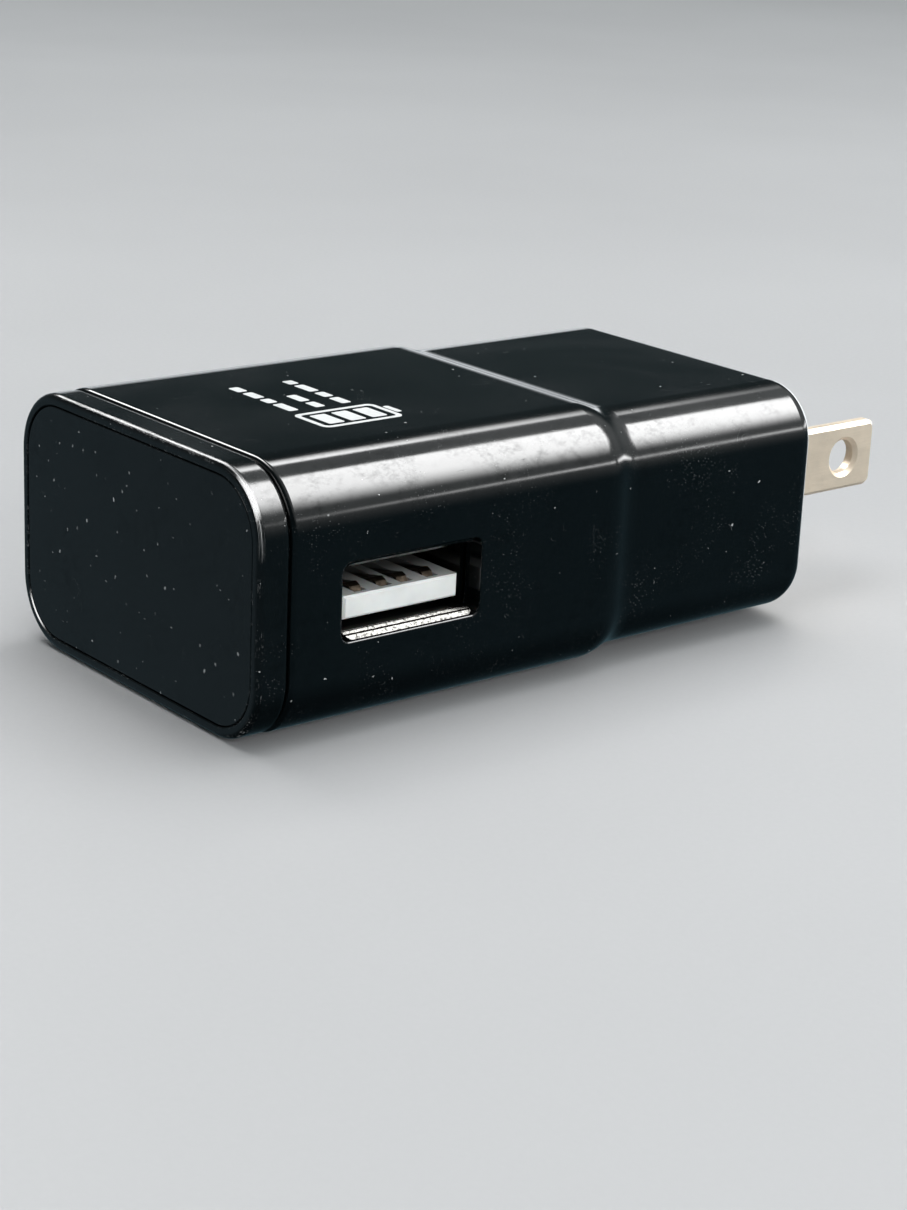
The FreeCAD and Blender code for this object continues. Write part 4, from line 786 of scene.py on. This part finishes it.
span_light(
    "step_glint", seen_from=STEP_EDGE, start=(0.86, -0.47, 0.16), end=(0.998, 0.0, 0.05), width=0.035,
    radiance=12.0, fades=(0.05, 0.1, 0.4, 0.4))
MIDDLE = (-0.03, 0.0, 0.0)
fill_light("overhead_fill", place=(0.10, 0.12, 0.75), aim=MIDDLE, size=0.7, watts=4.2)
fill_light("front_fill", place=(-0.12, -0.66, 0.16), aim=MIDDLE, size=0.5, watts=3.0)


ROOM_TONE = (0.040, 0.058, 0.062)
LOWER_TONE = (0.015, 0.042, 0.058)        # added below the horizon, and fading out above it
OVERHEAD = (0.50, -0.35, 0.79)
OVERHEAD_TONE = (0.75, 0.78, 0.78)
FAR_HORIZON = (0.66, 0.75, 0.0)
HORIZON_TONE = (1.1, 1.12, 1.15)
CAP_SIDE = (-0.56, 0.77, -0.31)
CAP_SIDE_TONE = (0.06, 0.065, 0.07)
PLUG_SIDE = (0.92, 0.38, 0.0)
PLUG_SIDE_TONE = (3.0, 3.05, 3.1)
LOWEST_STRENGTH = 0.2                     # straight down; it is 1 from a height of -0.40 up


def build_world():
    """Dim cool room with a glow overhead on the port side, a pale far horizon and dark ground."""
    world = bpy.data.worlds.new("studio")
    bpy.context.scene.world = world
    world.use_nodes = True
    tree = world.node_tree
    tree.nodes.clear()
    out = tree.nodes.new("ShaderNodeOutputWorld")
    background = tree.nodes.new("ShaderNodeBackground")
    coords = tree.nodes.new("ShaderNodeTexCoord")
    direction = coords.outputs["Generated"]
    split = tree.nodes.new("ShaderNodeSeparateXYZ")
    tree.links.new(direction, split.inputs[0])

    def towards(goal):
        """Cosine of the angle between the direction looked in and the goal."""
        dot = tree.nodes.new("ShaderNodeVectorMath")
        dot.operation = "DOT_PRODUCT"
        tree.links.new(direction, dot.inputs[0])
        dot.inputs[1].default_value = Vector(goal).normalized()
        return dot.outputs["Value"]

    def add_glow(colour_socket, amount, colour):
        """Adds a colour by an amount from 0 to 1."""
        tint = tree.nodes.new("ShaderNodeMix")
        tint.data_type = "RGBA"
        tint.blend_type = "ADD"
        tree.links.new(amount, tint.inputs["Factor"])
        tree.links.new(colour_socket, tint.inputs[6])
        tint.inputs[7].default_value = (*colour, 1.0)
        return tint.outputs[2]

    base = tree.nodes.new("ShaderNodeRGB")
    base.outputs[0].default_value = (*ROOM_TONE, 1.0)
    height = split.outputs["Z"]
    colour = add_glow(base.outputs[0], set_fade(tree, height, -0.1, 0.25), LOWER_TONE)
    colour = add_glow(colour, set_fade(tree, towards(OVERHEAD), 0.88, 0.5), OVERHEAD_TONE)
    far_side = set_fade(tree, towards(FAR_HORIZON), 0.98, 0.75)
    near_horizon = multiply(tree, set_fade(tree, height, 0.06, 0.17), set_fade(tree, height, 0.0, -0.2))
    colour = add_glow(colour, multiply(tree, far_side, near_horizon), HORIZON_TONE)
    colour = add_glow(colour, set_fade(tree, towards(CAP_SIDE), 0.98, 0.6), CAP_SIDE_TONE)
    plug_side = set_fade(tree, towards(PLUG_SIDE), 0.99, 0.93)
    plug_side = multiply(tree, plug_side, set_fade(tree, height, 0.08, 0.16))
    colour = add_glow(colour, plug_side, PLUG_SIDE_TONE)
    tree.links.new(colour, background.inputs["Color"])
    above_ground = multiply(tree, set_fade(tree, height, -0.40, -0.85), 1.0 - LOWEST_STRENGTH)
    strength = tree.nodes.new("ShaderNodeMath")
    tree.links.new(above_ground, strength.inputs[0])
    strength.inputs[1].default_value = LOWEST_STRENGTH
    tree.links.new(strength.outputs[0], background.inputs["Strength"])
    tree.links.new(background.outputs["Background"], out.inputs["Surface"])


build_world()

# ---------------------------------------------------------------- camera

CAMERA_PLACE = Vector((-0.1624, -0.1628, 0.0611))
HEADING = math.radians(-39.89)
PITCH = math.radians(18.37)
ROLL = math.radians(2.53)
FOCAL_LENGTH = 76.75       # mm
SENSOR_SIZE = 36.0         # mm, along the picture's long side


def build_camera():
    """Camera from its place, heading, pitch and roll."""
    data = bpy.data.cameras.new("camera")
    camera = bpy.data.objects.new("camera", data)
    bpy.context.scene.collection.objects.link(camera)
    bpy.context.scene.camera = camera
    data.sensor_width = SENSOR_SIZE
    data.lens = FOCAL_LENGTH
    data.clip_start = 0.01
    data.clip_end = 20.0
    level = math.cos(PITCH)
    forward = Vector((-math.sin(HEADING) * level, math.cos(HEADING) * level, -math.sin(PITCH)))
    right = forward.cross(Vector((0, 0, 1))).normalized()
    up = right.cross(forward)
    side = math.cos(ROLL) * right + math.sin(ROLL) * up
    above = -math.sin(ROLL) * right + math.cos(ROLL) * up
    camera.matrix_world = Matrix((
        (side.x, above.x, -forward.x, CAMERA_PLACE.x),
        (side.y, above.y, -forward.y, CAMERA_PLACE.y),
        (side.z, above.z, -forward.z, CAMERA_PLACE.z),
        (0, 0, 0, 1),
    ))


build_camera()
bpy.context.scene.view_settings.view_transform = "Standard"
